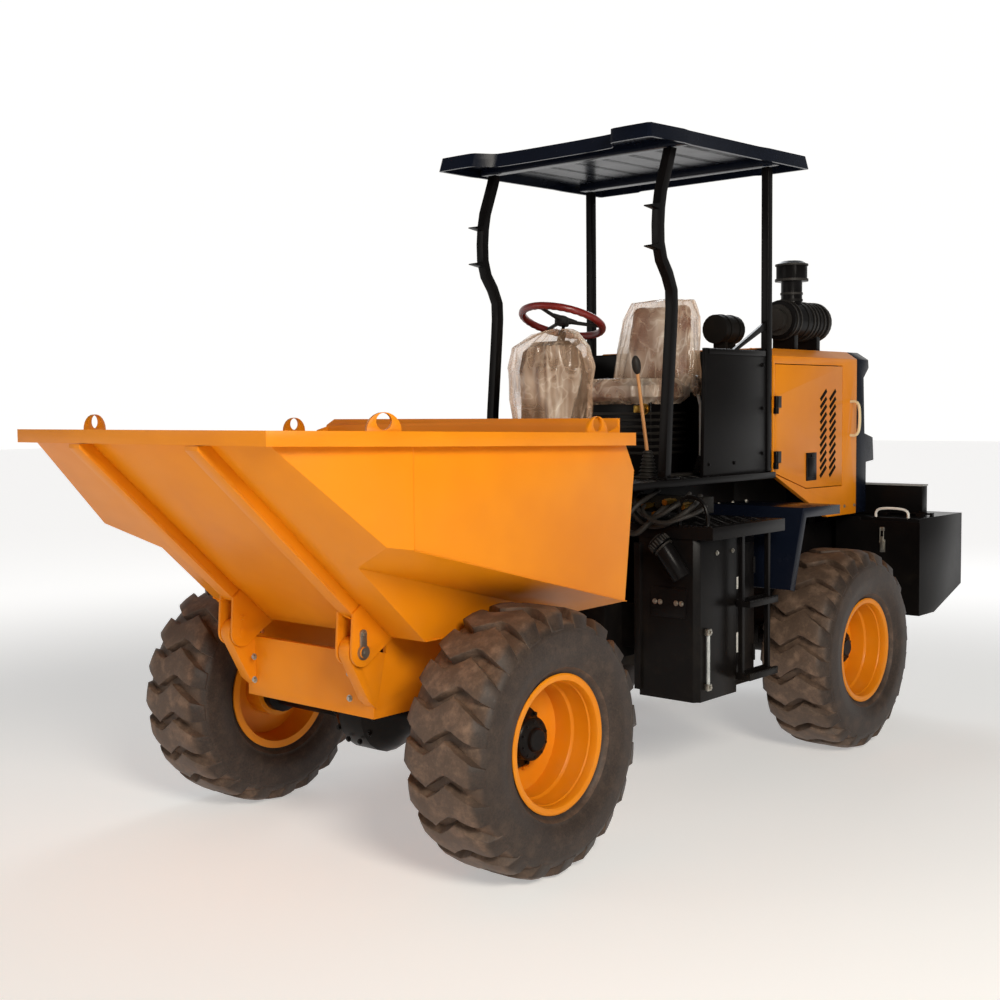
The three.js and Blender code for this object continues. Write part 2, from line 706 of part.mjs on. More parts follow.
// A hydraulic cylinder laid along +Y from its base eye, which turns on a pin along X.
function barrelBody(length, radius, rodRadius, eyeRadius, pinRadius, eyeHalf, boreStart) {
  const tube = cut(
    bar(radius, [0, eyeRadius * 0.6, 0], [0, length, 0], 20),
    bar(rodRadius + RUN, [0, boreStart, 0], [0, length + 5, 0], 20),
  );
  const eye = cut(
    join(bar(eyeRadius, [-eyeHalf, 0, 0], [eyeHalf, 0, 0], 20), tube),
    bar(pinRadius + RUN, [-eyeHalf - 60, 0, 0], [eyeHalf + 60, 0, 0], 20),
  );
  return eye;
}
function rodBody(start, end, radius, eyeRadius, eyeHalf) {
  return join(
    bar(radius, [0, start, 0], [0, end, 0], 20),
    bar(eyeRadius, [-eyeHalf, end, 0], [eyeHalf, end, 0], 20),
  );
}

const tipRun = [TIP_EYE[0] - TIP_BASE[0], TIP_EYE[1] - TIP_BASE[1]];
const tipLength = Math.hypot(...tipRun);
const tipCylinder = new THREE.Group();
tipCylinder.position.set(0, ...TIP_BASE);
tipCylinder.rotation.x = Math.atan2(tipRun[1], tipRun[0]);
machine.add(tipCylinder);
add(
  'tip_cylinder',
  barrelBody(TIP_BARREL_LENGTH, TIP_BARREL_RADIUS, TIP_ROD_RADIUS, 34, TIP_PIN_RADIUS, 26, TIP_BARREL_LENGTH * 0.28),
  'black',
  tipCylinder,
);
add('tip_rod', rodBody(TIP_BARREL_LENGTH * 0.35, tipLength, TIP_ROD_RADIUS, 30, 26), 'steel', tipCylinder);

const steerLength = STEER_BASE_Y - STEER_EYE_Y;
const steerCylinder = new THREE.Group();
steerCylinder.position.set(STEER_X, STEER_BASE_Y + REAR_SHIFT, STEER_Z);
steerCylinder.rotation.set(0, Math.PI / 2, Math.PI, 'ZYX');
machine.add(steerCylinder);
add(
  'steering_cylinder',
  barrelBody(STEER_BARREL_LENGTH, STEER_BARREL_RADIUS, STEER_ROD_RADIUS, 28, 15, 34, STEER_BARREL_LENGTH * 0.14),
  'black',
  steerCylinder,
);
add('steering_rod', rodBody(STEER_BARREL_LENGTH * 0.5, steerLength, STEER_ROD_RADIUS, 24, 20), 'steel', steerCylinder);

// ---------------------------------------------------------------- rear chassis

chassis = rearChassis;
const WEIGHT_BOTTOM = 500;
const NOSE_LOW = FRAME_BOTTOM + 70;
const NOSE_HIGH = FRAME_TOP - 48;
const LEG = 70;
const HOOD_LEG_Y = 2260;
function rearFrame() {
  const rail = join(
    block([RAIL_IN, RAIL_OUT], [REAR_FRAME_FRONT, BOX_FRONT], [RAIL_BOTTOM, RAIL_TOP]),
    block([RAIL_IN, RAIL_OUT], [BOX_FRONT - 10, REAR_FRAME_REAR], [RAIL_BOTTOM, BOX_TOP - 20]),
  );
  const nose = prism('z', [
    [-128, REAR_FRAME_FRONT + 10],
    ...arc(TONGUE_RADIUS - 5, [0, PIVOT_Y], 200, 340, 10),
    [128, REAR_FRAME_FRONT + 10],
  ], [NOSE_LOW, NOSE_HIGH]);
  const pin = bar(
    PIVOT_PIN_RADIUS,
    [0, PIVOT_Y, FRAME_BOTTOM + 22],
    [0, PIVOT_Y, FRAME_TOP],
    24,
  );
  // The window lets the steering cylinder swing through the front cross plate.
  const frontCross = cut(
    block(
      [-RAIL_OUT, RAIL_OUT],
      [REAR_FRAME_FRONT, REAR_FRAME_FRONT + 25],
      [RAIL_BOTTOM, RAIL_TOP],
    ),
    block(
      [STEER_X - 95, STEER_X + 95],
      [REAR_FRAME_FRONT - 10, REAR_FRAME_FRONT + 40],
      [STEER_Z - 60, STEER_Z + 60],
    ),
  );
  const midCross = block([-RAIL_OUT, RAIL_OUT], [1620, 1645], [RAIL_TOP - 160, RAIL_TOP]);
  // Side plates that close the frame up to the platform.
  const skirt = block(
    [RAIL_IN, RAIL_OUT],
    [REAR_FRAME_FRONT + 50, DECK_REAR - 18],
    [RAIL_TOP - 5, DECK_TOP - DECK_THICK - FIT],
  );
  // Counterweight between the rear boxes, with the towing jaw on its rear face.
  const weight = block(
    [-BOX_IN + FIT, BOX_IN - FIT],
    [BOX_FRONT + 90, BOX_REAR - 60],
    [WEIGHT_BOTTOM, BOX_TOP + LID_THICK],
  );
  const jawOutline = [
    [-90, BOX_REAR - 70],
    [90, BOX_REAR - 70],
    [45, BOX_REAR],
    [-45, BOX_REAR],
  ];
  const jaw = join(
    prism('z', jawOutline, [640, 658]),
    prism('z', jawOutline, [712, 730]),
    bar(14, [0, BOX_REAR - 32, 630], [0, BOX_REAR - 32, 750], 12),
  );
  const leg = (y) => block(
    [RAIL_OUT - LEG, RAIL_OUT],
    [y, y + LEG],
    [RAIL_TOP - 5, DECK_TOP - DECK_THICK - FIT],
  );
  const hoodLeg = block(
    [RAIL_OUT - LEG, RAIL_OUT],
    [3180, 3180 + LEG],
    [RAIL_TOP - 5, HOOD_BOTTOM + 20],
  );
  const hoodFoot = block([RAIL_OUT - LEG, HOOD_HALF - HOOD_WALL - FIT], [3180, 3180 + LEG], [HOOD_BOTTOM - 10, HOOD_BOTTOM + 20]);
  const legs = [1200, 1560, HOOD_LEG_Y].map(leg);
  const steerBase = (z) => prism('z', [
    [STEER_X - 36, STEER_BASE_Y],
    ...arc(30, [STEER_X, STEER_BASE_Y], 180, 360, 8),
    [STEER_X + 36, STEER_BASE_Y],
    [RAIL_IN + 5, STEER_BASE_Y + 60],
    [RAIL_IN + 5, STEER_BASE_Y + 120],
    [STEER_X - 36, STEER_BASE_Y + 60],
  ], z);
  const steerPin = bar(
    15,
    [STEER_X, STEER_BASE_Y, STEER_Z - 54],
    [STEER_X, STEER_BASE_Y, STEER_Z + 54],
    20,
  );
  return join(
    nose, pin, frontCross, midCross, weight, jaw,
    rail, mirrored(rail), skirt, mirrored(skirt),
    ...legs, ...legs.map(mirrored),
    hoodLeg, mirrored(hoodLeg), hoodFoot, mirrored(hoodFoot),
    steerBase([STEER_Z + 38, STEER_Z + 52]), steerBase([STEER_Z - 52, STEER_Z - 38]), steerPin,
  );
}
add('rear_frame', rearFrame(), 'black');

const ENGINE_FRONT = 2420;
const ENGINE_REAR = 3140;
function engineBody() {
  const foot = block([240, RAIL_OUT], [2700, 2840], [RAIL_TOP + FIT, RAIL_TOP + 40]);
  return join(
    block([-250, 250], [ENGINE_FRONT, ENGINE_REAR], [760, 1720]),
    foot,
    mirrored(foot),
  );
}
add('engine', engineBody(), 'castIron');

// Gearbox in front of the engine, with its shafts to the centre pivot and the rear axle.
function transmissionBody() {
  const yoke = (z) => prism('z', [
    ...arc(36, [0, PIVOT_Y], 180, 360, 10),
    [36, PIVOT_Y + 60],
    [-36, PIVOT_Y + 60],
  ], z);
  const rearEnd = REAR_DATUM - PINION_REACH;
  return join(
    block([-170, 170], [1760, ENGINE_FRONT - 200], [AXLE_Z - 60, 940]),
    block([-170, 170], [ENGINE_FRONT - 210, ENGINE_FRONT], [780, 1150]),
    bar(SHAFT_RADIUS, [0, PIVOT_Y + 60, AXLE_Z], [0, 1770, AXLE_Z], 16),
    bar(54, [0, PIVOT_Y + 45, AXLE_Z], [0, PIVOT_Y + 90, AXLE_Z], 16),
    yoke([AXLE_Z + 40, AXLE_Z + 52]),
    yoke([AXLE_Z - 52, AXLE_Z - 40]),
    bar(SHAFT_RADIUS, [0, ENGINE_FRONT - 210, AXLE_Z], [0, rearEnd - 15, AXLE_Z], 16),
    bar(62, [0, rearEnd - 20, AXLE_Z], [0, rearEnd - FIT, AXLE_Z], 16),
  );
}
add('transmission', transmissionBody(), 'castIron');

// ---------------------------------------------------------------- tanks, steps and fenders

function tankBody() {
  const chamfer = 26;
  const tank = prism('z', [
    [TANK_IN, TANK_FRONT],
    [TANK_OUT - chamfer, TANK_FRONT],
    [TANK_OUT, TANK_FRONT + chamfer],
    [TANK_OUT, TANK_REAR],
    [TANK_IN, TANK_REAR],
  ], [TANK_BOTTOM, TANK_TOP]);
  const plate = block([TANK_IN - 20, TANK_IN + 16], [TANK_FRONT - 16, TANK_REAR + 30], [TANK_BOTTOM + 30, TANK_TOP - 30]);
  const bracket = block([RAIL_OUT + FIT, TANK_IN - 15], [TANK_FRONT + 60, TANK_REAR - 60], [680, 900]);
  const locker = block([TANK_IN, LOCKER_OUT], [TANK_REAR - 5, LOCKER_REAR], [TANK_BOTTOM + 10, TANK_TOP - 30]);
  const neckLow = [790, TANK_FRONT - 24, 1058];
  const neckHigh = [705, TANK_FRONT - 64, 1203];
  const capHigh = [677, TANK_FRONT - 70, 1230];
  const neck = bar(46, neckLow, neckHigh, 16);
  const cap = bar(52, neckHigh, capHigh, 16);
  return join(tank, plate, bracket, locker, neck, cap);
}
add('left_tank', tankBody(), 'black');
add('right_tank', mirrored(tankBody()), 'black');

const LADDER_FRONT = 1545;
const LADDER_REAR = 1812;
const LADDER_BAR = 22;
const LADDER_X = 884;
const LADDER_FOOT = 532;
function stepBody() {
  const shelfIn = RAIL_OUT + FIT;
  const plate = block([shelfIn, SHELF_OUT], [SHELF_FRONT, SHELF_REAR], [SHELF_TOP - 14, SHELF_TOP]);
  const outerEdge = block(
    [SHELF_OUT - 10, SHELF_OUT],
    [SHELF_FRONT, SHELF_REAR],
    [SHELF_TOP - SHELF_EDGE, SHELF_TOP],
  );
  const frontEdge = block(
    [shelfIn, SHELF_OUT],
    [SHELF_FRONT, SHELF_FRONT + 9],
    [SHELF_TOP - SHELF_EDGE, SHELF_TOP],
  );
  const rung = (y) => block(
    [LADDER_X, LADDER_X + LADDER_BAR],
    [y, y + LADDER_BAR],
    [LADDER_FOOT, SHELF_TOP - 5],
  );
  const tread = (z) => block(
    [LADDER_X - 14, SHELF_OUT],
    [LADDER_FRONT, LADDER_REAR],
    [z - 28, z],
  );
  const octagon = ring(9, 8);
  const hoop = swept(octagon, [
    [750, SHELF_FRONT + 30, SHELF_TOP - 5],
    [750, SHELF_FRONT + 28, SHELF_TOP + 90],
    [790, SHELF_FRONT + 25, SHELF_TOP + 135],
    [870, SHELF_FRONT + 25, SHELF_TOP + 120],
    [902, SHELF_FRONT + 26, SHELF_TOP + 60],
    [905, SHELF_FRONT + 30, SHELF_TOP - 5],
  ], 16);
  return join(
    plate, outerEdge, frontEdge,
    rung(LADDER_FRONT), rung(LADDER_REAR - LADDER_BAR),
    tread(915), tread(560), hoop,
  );
}
add('left_step', stepBody(), 'black');
add('right_step', mirrored(stepBody()), 'black');

// A folded fender: a nearly level top behind a front strip that leans over the tyre.
function fenderBody() {
  const elbow = [2057, 1336];
  const tail = [2455, 1330];
  const toe = [1929, 933];
  const plate = prism('x', [
    elbow,
    toe,
    [toe[0] + FENDER_PLATE, toe[1] - 4],
    [elbow[0] + FENDER_PLATE - 2, elbow[1] - FENDER_PLATE],
    [tail[0], tail[1] - FENDER_PLATE],
    tail,
  ], [RAIL_OUT + FIT, FENDER_OUT]);
  // The outer edge is folded down into a flange along the strip and the top.
  const web = prism('x', [
    [elbow[0] + 2, elbow[1] - 2],
    [toe[0] + 2, toe[1] - 1],
    [toe[0] + 46, toe[1] - 14],
    [elbow[0] + 36, elbow[1] - 50],
    [tail[0], tail[1] - 48],
    [tail[0], tail[1] - 2],
  ], [FENDER_OUT - 6, FENDER_OUT]);
  return join(plate, web);
}
add('left_fender', fenderBody(), 'navy');
add('right_fender', mirrored(fenderBody()), 'navy');

// ---------------------------------------------------------------- platform and canopy

add(
  'platform',
  block([-DECK_HALF, DECK_HALF], [DECK_FRONT, DECK_REAR], [DECK_TOP - DECK_THICK, DECK_TOP]),
  'black',
);

const square = [[-1, -1], [1, -1], [1, 1], [-1, 1]].map(([u, v]) => [(u * POST) / 2, (v * POST) / 2]);
const ROOF_FRONT = 1118;
const ROOF_REAR = 2570;
const ROOF_RISE = 0.018;       // rise of the roof towards the rear
const roofZ = (y) => ROOF_Z + ROOF_RISE * (y - ROOF_FRONT);

// Front post: leans back from the platform, then steps forwards and curls back under the roof.
function frontPost() {
  return swept(square, [
    [FRONT_POST_X, 1390, DECK_TOP + FIT],
    [FRONT_POST_X, 1408, DECK_TOP + 300],
    [FRONT_POST_X, 1434, DECK_TOP + 600],
    [FRONT_POST_X, 1456, DECK_TOP + 860],
    [FRONT_POST_X, 1444, DECK_TOP + 950],
    [FRONT_POST_X, 1368, DECK_TOP + 1055],
    [FRONT_POST_X, 1343, DECK_TOP + 1130],
    [FRONT_POST_X, 1345, DECK_TOP + 1290],
    [FRONT_POST_X, 1368, DECK_TOP + 1400],
    [FRONT_POST_X, 1410, DECK_TOP + 1500],
    [FRONT_POST_X, 1452, DECK_TOP + 1620],
  ], 20);
}
// The post's head is cut level with the underside of the roof.
function underRoof(body) {
  const above = prism('x', [
    [ROOF_FRONT - 100, roofZ(ROOF_FRONT - 100) - FIT],
    [ROOF_REAR + 100, roofZ(ROOF_REAR + 100) - FIT],
    [ROOF_REAR + 100, ROOF_Z + 400],
    [ROOF_FRONT - 100, ROOF_Z + 400],
  ], [-SKIP_HALF, SKIP_HALF]);
  return body.subtract(above);
}
const tab = (y, z) => prism('x', [
  [y, z], [y - 92, z + 12], [y - 88, z + 18], [y, z + 34],
], [FRONT_POST_X - POST / 2, FRONT_POST_X + POST / 2]);
function frontPostWithTabs() {
  const sole = block(
    [FRONT_POST_X - 22, FRONT_POST_X + 22],
    [1390 - 22, 1390 + 22],
    [DECK_TOP + FIT, DECK_TOP + 40],
  );
  const below = block([0, SKIP_HALF], [DECK_FRONT, DECK_REAR], [DECK_TOP - 200, DECK_TOP + FIT]);
  const post = join(frontPost(), sole, tab(1345, DECK_TOP + 1100), tab(1345, DECK_TOP + 1290));
  return underRoof(cut(post, below));
}
add('front_left_post', frontPostWithTabs(), 'black');
add('front_right_post', mirrored(frontPostWithTabs()), 'black');

function rearPost() {
  return underRoof(block(
    [REAR_POST_X - POST / 2, REAR_POST_X + POST / 2],
    [REAR_POST_Y - POST / 2, REAR_POST_Y + POST / 2],
    [DECK_TOP + FIT, ROOF_Z + 200],
  ));
}
add('rear_left_post', rearPost(), 'black');
add('rear_right_post', mirrored(rearPost()), 'black');

// Pressed roof: raised corners standing out from slightly set-back edges, hollow below.
const ROOF_HALF = 700;
const ROOF_SKIN = 12;
function roofOutline(inset) {
  const front = ROOF_FRONT + inset;
  const rear = ROOF_REAR - inset;
  const side = ROOF_HALF - inset;
  const half = [
    [300, front + 122],
    [385, front + 112],
    [448, front + 4],
    [side - 27, front],
    [side - 12, front + 290],
    [side - 30, front + 320],
    [side - 24, rear - 440],
    [side - 2, rear - 415],
    [side, rear],
    [420, rear],
    [385, rear - 30],
  ];
  return [...half, ...half.map(([x, y]) => [-x, y]).reverse()];
}
function roofBody() {
  const lean = (body) => body.warp((v) => {
    v[2] += roofZ(v[1]);
  });
  const edge = prism('z', roofOutline(0), [0, ROOF_EDGE]);
  const crown = prism('z', roofOutline(45), [ROOF_EDGE - 1, ROOF_EDGE + 20]);
  const hollow = prism('z', roofOutline(8), [-10, ROOF_EDGE - ROOF_SKIN]);
  const frontBeam = block([-ROOF_HALF + 20, ROOF_HALF - 20], [1410, 1500], [0, ROOF_EDGE - 5]);
  const rearBeam = block([-ROOF_HALF + 20, ROOF_HALF - 20], [2290, 2350], [0, ROOF_EDGE - 5]);
  return lean(join(cut(join(edge, crown), hollow), frontBeam, rearBeam));
}
add('canopy_roof', roofBody(), 'navy');

// Black panels round the operator: two sides and the firewall, with braces to the rear posts.
const PANEL_TOP = 2145;
const PANEL_FRONT = 1680;
const PANEL_REAR = 2292;
function bulkheadBody() {
  const side = prism('x', [
    [PANEL_FRONT, DECK_TOP + FIT],
    [PANEL_REAR, DECK_TOP + FIT],
    [PANEL_REAR, PANEL_TOP],
    [PANEL_FRONT + 20, PANEL_TOP],
  ], [HOOD_HALF - 20, HOOD_HALF]);
  const brace = prism('x', [
    [1965, PANEL_TOP - 5],
    [2010, PANEL_TOP - 5],
    [PANEL_REAR + 5, PANEL_TOP + 117],
    [PANEL_REAR + 5, PANEL_TOP + 155],
  ], [HOOD_HALF - 18, HOOD_HALF - 2]);
  const wall = block(
    [-HOOD_HALF + 5, HOOD_HALF - 5],
    [PANEL_REAR - 20, PANEL_REAR],
    [DECK_TOP + FIT, PANEL_TOP + 10],
  );
  return join(wall, side, mirrored(side), brace, mirrored(brace));
}
add('bulkhead', bulkheadBody(), 'black');

// ---------------------------------------------------------------- seat and controls

const SEAT_BACK_FOOT = 2090;
add(
  'seat_base',
  block([-200, 200], [SEAT_FRONT + 30, 2120], [DECK_TOP + FIT, SEAT_TOP - CUSHION_HEIGHT - FIT]),
  'black',
);
add(
  'seat_cushion',
  block([-SEAT_HALF, SEAT_HALF], [SEAT_FRONT, 2140], [SEAT_TOP - CUSHION_HEIGHT, SEAT_TOP]),
  'seat',
);
add('seat_backrest', prism('x', [
  [SEAT_BACK_FOOT, SEAT_TOP + FIT],
  [SEAT_BACK_FOOT + 110, SEAT_TOP + FIT],
  [SEAT_BACK_FOOT + 165, SEAT_TOP + 440],
  [SEAT_BACK_FOOT + 65, SEAT_TOP + 440],
], [-SEAT_HALF + 10, SEAT_HALF - 10]), 'seat');

const columnDir = [0, Math.sin(WHEEL_TILT * DEGREE), Math.cos(WHEEL_TILT * DEGREE)];
const alongColumn = (s) => [0, WHEEL_CENTRE[0] + s * columnDir[1], WHEEL_CENTRE[1] + s * columnDir[2]];
function consoleBody() {
  const body = prism('x', [
    [1100, DECK_TOP + FIT],
    [1320, DECK_TOP + FIT],
    [1350, DECK_TOP + 300],
    [1370, DECK_TOP + 540],
    [1320, DECK_TOP + 660],
    [1200, DECK_TOP + 715],
    [1090, DECK_TOP + 660],
    [1055, DECK_TOP + 560],
    [1080, DECK_TOP + 300],
  ], [-CONSOLE_HALF, CONSOLE_HALF]);
  const column = bar(26, alongColumn(-140), alongColumn(-24), 16);
  const stub = bar(11, alongColumn(-30), alongColumn(14), 16);
  return join(body, column, stub);
}
add('dash_console', consoleBody(), 'black');

// Steering wheel: rim, three spokes and a hub bored for the column's end.
function steeringWheelBody() {
  const section = 16;
  const rimRing = new THREE.TorusGeometry(STEERING_RADIUS, section, 8, 28);
  const spoke = (angle) => prism('x', [
    [20, -5], [STEERING_RADIUS, -3], [STEERING_RADIUS, 5], [20, 7],
  ], [-11, 11]).rotate([0, 0, angle]);
  const hub = cut(
    bar(40, [0, 0, -20], [0, 0, 22], 20),
    bar(11 + RUN, [0, 0, -30], [0, 0, 15], 16),
  );
  return join(solid(rimRing), spoke(60), spoke(180), spoke(300), hub);
}
const steering = add('steering_wheel', steeringWheelBody(), 'red');
steering.position.set(0, ...WHEEL_CENTRE);
steering.rotation.x = -WHEEL_TILT * DEGREE;

// Two gear levers with rubber boots on a common plate on the platform.
const LEVER_X = 420;
function leverBody() {
  const plate = block([LEVER_X - 52, LEVER_X + 52], [1400, 1990], [DECK_TOP + FIT, DECK_TOP + 12]);
  const boot = (y, foot, neck, height) => bar(foot, [LEVER_X, y, DECK_TOP + 10], [LEVER_X, y, DECK_TOP + height], 16, neck);
  const rod = (from, to) => bar(11, [LEVER_X, ...from], [LEVER_X, ...to], 10);
  const knob = (from, to) => bar(17, [LEVER_X, ...from], [LEVER_X, ...to], 12, 24);
  return join(
    plate, boot(1457, 50, 22, 145), boot(1935, 42, 14, 100),
    rod([1457, DECK_TOP + 90], [1366, DECK_TOP + 530]), knob([1372, DECK_TOP + 500], [1350, DECK_TOP + 605]),
    rod([1935, DECK_TOP + 90], [1935, DECK_TOP + 360]), rod([1935, DECK_TOP + 350], [1900, DECK_TOP + 430]),
    knob([1908, DECK_TOP + 410], [1888, DECK_TOP + 520]),
  );
}
add('control_levers', leverBody(), 'black');

// ---------------------------------------------------------------- engine housing

// Cross-section of the housing as (z, x), with its top edges chamfered.
function hoodSection(inset) {
  const half = HOOD_HALF - inset;
  const top = HOOD_TOP - inset;
  const chamfer = HOOD_CHAMFER;
  return [
    [HOOD_BOTTOM - (inset ? 50 : 0), half],
    [top - chamfer, half],
    [top, half - chamfer * 1.5],
    [top, -half + chamfer * 1.5],
    [top - chamfer, -half],
    [HOOD_BOTTOM - (inset ? 50 : 0), -half],
  ];
}
const SLANT_TOP = 1486;
const SLANT_END = 2985;
const DOOR_KINK = [2733, 1392];
const slantZ = (y) => SLANT_TOP - ((y - HOOD_FRONT) * (SLANT_TOP - HOOD_BOTTOM)) / (SLANT_END - HOOD_FRONT);
const HINGE_HEIGHTS = [1560, 1857];
const HINGE_HALF = 48;

// Outline of an engine door as (y, z), grown by the gap for its opening.
const doorOutline = (gap) => [
  [DOOR_FRONT - gap, slantZ(DOOR_FRONT) + 14 - gap],
  [DOOR_KINK[0], DOOR_KINK[1] - gap],
  [DOOR_REAR + gap, DOOR_KINK[1] - 5 - gap],
  [DOOR_REAR + gap, DOOR_TOP + gap],
  [DOOR_FRONT - gap, DOOR_TOP + gap],
];

function hoodBody() {
  const outer = prism('y', hoodSection(0), [HOOD_FRONT, HOOD_REAR]);
  const inner = prism('y', hoodSection(HOOD_WALL), [HOOD_FRONT - 10, HOOD_REAR + 10]);
  const slant = prism('x', [
    [HOOD_FRONT - 10, SLANT_TOP + 5],
    [SLANT_END, HOOD_BOTTOM],
    [SLANT_END, HOOD_BOTTOM - 60],
    [HOOD_FRONT - 10, HOOD_BOTTOM - 60],
  ], [-HOOD_HALF - 10, HOOD_HALF + 10]);
  const opening = prism('x', doorOutline(DOOR_GAP), [HOOD_HALF - HOOD_WALL - 5, HOOD_HALF + 20]);
  const octagon = ring(9, 8);
  const handle = swept(octagon, [
    [HOOD_HALF - 4, 3262, 1872],
    [HOOD_HALF + 34, 3262, 1872],
    [HOOD_HALF + 52, 3262, 1850],
    [HOOD_HALF + 52, 3262, 1700],
    [HOOD_HALF + 34, 3262, 1676],
    [HOOD_HALF - 4, 3262, 1676],
  ], 18);
  // Fixed hinge halves: a pin with a plate on the narrow front strip.
  const hinge = (z) => join(
    bar(HINGE_PIN_RADIUS, [HINGE_X, HINGE_Y, z - HINGE_HALF], [HINGE_X, HINGE_Y, z + HINGE_HALF], 16),
    bar(HINGE_KNUCKLE, [HINGE_X, HINGE_Y, z - HINGE_HALF], [HINGE_X, HINGE_Y, z - 16], 16),
    block([HOOD_HALF - 4, HINGE_X], [HOOD_FRONT + 2, HINGE_Y], [z - HINGE_HALF, z - 16]),
  );
  const hinges = HINGE_HEIGHTS.map(hinge);
  return join(
    cut(outer, inner, slant, opening, mirrored(opening)),
    handle, mirrored(handle),
    ...hinges, ...hinges.map(mirrored),
  );
}
add('hood_shell', hoodBody(), 'orange');

function doorBody() {
  const panel = prism('x', doorOutline(0), [HOOD_HALF - HOOD_WALL, HOOD_HALF]);
  const knuckle = (z) => cut(
    join(
      bar(HINGE_KNUCKLE, [HINGE_X, HINGE_Y, z - 15.5], [HINGE_X, HINGE_Y, z + HINGE_HALF - 1], 16),
      block([HOOD_HALF + 1, HINGE_X + 5], [HINGE_Y, DOOR_FRONT + 34], [z - 15.5, z + HINGE_HALF - 1]),
      block([HOOD_HALF - 3, HOOD_HALF + 3], [DOOR_FRONT + 2, DOOR_FRONT + 34], [z - 15.5, z + HINGE_HALF - 1]),
    ),
    bar(HINGE_PIN_RADIUS + RUN, [HINGE_X, HINGE_Y, z - 80], [HINGE_X, HINGE_Y, z + 80], 16),
  );
  return join(panel, ...HINGE_HEIGHTS.map(knuckle));
}
add('left_engine_door', doorBody(), 'orange');
add('right_engine_door', mirrored(doorBody()), 'orange');

// Stepped rear cover with the radiator grille.
function grilleBody() {
  const profile = prism('x', [
    [HOOD_REAR + FIT, HOOD_BOTTOM],
    [3471, HOOD_BOTTOM],
    [3471, 1510],
    [3572, 1519],
    [3558, 1658],
    [3450, 1684],
    [3433, 2012],
    [3497, 2072],
    [3483, HOOD_TOP + 10],
    [HOOD_REAR + FIT, HOOD_TOP + 10],
  ], [-HOOD_HALF - 10, HOOD_HALF + 10]);
  const section = prism('y', hoodSection(0), [HOOD_REAR, 3600]);
  return profile.intersect(section);
}
add('rear_grille', grilleBody(), 'navy');

// Air cleaner lying along the left of the housing, with its pre-cleaner on a neck.
function airCleanerBody() {
  const x = 400;
  const z = HOOD_TOP + 172;
  const radius = 110;
  const foot = (y) => block([x - 70, x + 70], [y, y + 40], [HOOD_TOP + FIT, z - 60]);
  return join(
    bar(radius, [x, 2770, z], [x, 3200, z], 24),
    bar(radius, [x, 3199, z], [x, 3234, z], 24, radius - 30),
    bar(60, [x, 2920, z], [x, 2920, z + 225], 20),
    bar(90, [x, 2920, z + 224], [x, 2920, z + 322], 12),
    bar(90, [x, 2920, z + 321], [x, 2920, z + 340], 12, 60),
    foot(2830), foot(3090),
  );
}
add('air_cleaner', airCleanerBody(), 'black');

function mufflerBody() {
  const x = 250;
  const z = HOOD_TOP + 112;
  const foot = (y) => block([x - 40, x + 40], [y, y + 24], [HOOD_TOP + FIT, z - 40]);
  return join(
    bar(80, [x, 2340, z], [x, 2530, z], 20),
    bar(80, [x, 2529, z], [x, 2548, z], 20, 50),
    foot(2390), foot(2470),
  );
}
add('exhaust_muffler', mufflerBody(), 'black');

// ---------------------------------------------------------------- rear boxes

function toolBox() {
  const outline = (inset, top) => [
    [BOX_FRONT + inset, BOX_BOTTOM + inset],
    [3593 - inset * 0.2, BOX_BOTTOM + inset],
    [BOX_REAR - inset, 756 + inset * 0.8],
    [BOX_REAR - inset, top],
    [BOX_FRONT + inset, top],
  ];
  const outer = prism('x', outline(0, BOX_TOP), [BOX_IN, BOX_OUT]);
  const inner = prism('x', outline(BOX_WALL, BOX_TOP - LID_THICK), [BOX_IN + BOX_WALL, BOX_OUT - BOX_WALL]);
  const mouth = block(
    [LID_IN + BOX_WALL, LID_OUT - BOX_WALL],
    [BOX_FRONT + BOX_WALL, LID_REAR - 30],
    [BOX_TOP - 40, BOX_TOP + 10],
  );
  const fixedTop = block([BOX_IN, LID_IN - 3], [BOX_FRONT, BOX_REAR], [BOX_TOP - 1, BOX_TOP + LID_THICK]);
  const rearTop = block([BOX_IN, BOX_OUT], [LID_REAR + 3, BOX_REAR], [BOX_TOP - 1, BOX_TOP + LID_THICK]);
  const sideTop = block([LID_OUT + 3, BOX_OUT], [BOX_FRONT, BOX_REAR], [BOX_TOP - 1, BOX_TOP + LID_THICK]);
  const pin = bar(6, [LID_IN + 4, LID_REAR, LID_HINGE_Z], [LID_OUT - 4, LID_REAR, LID_HINGE_Z], 12);
  const pinPost = (x) => block(
    [x, x + 16],
    [LID_REAR - 8, LID_REAR + 22],
    [BOX_TOP + LID_THICK - (x < LID_IN ? 8 : 0), LID_HINGE_Z + 8],
  );
  const postFoot = (x) => block([x, x + 16], [LID_REAR + 4, LID_REAR + 22], [BOX_TOP, BOX_TOP + LID_THICK + 2]);
  const middle = (LID_IN + LID_OUT) / 2;
  return join(
    cut(outer, inner, mouth), fixedTop, rearTop, sideTop,
    pin, pinPost(LID_IN + 4), postFoot(LID_IN + 4), pinPost(LID_OUT - 20), postFoot(LID_OUT - 20),
    pinPost(middle - 8), postFoot(middle - 8),
  );
}
add('left_tool_box', toolBox(), 'black');
add('right_tool_box', mirrored(toolBox()), 'black');

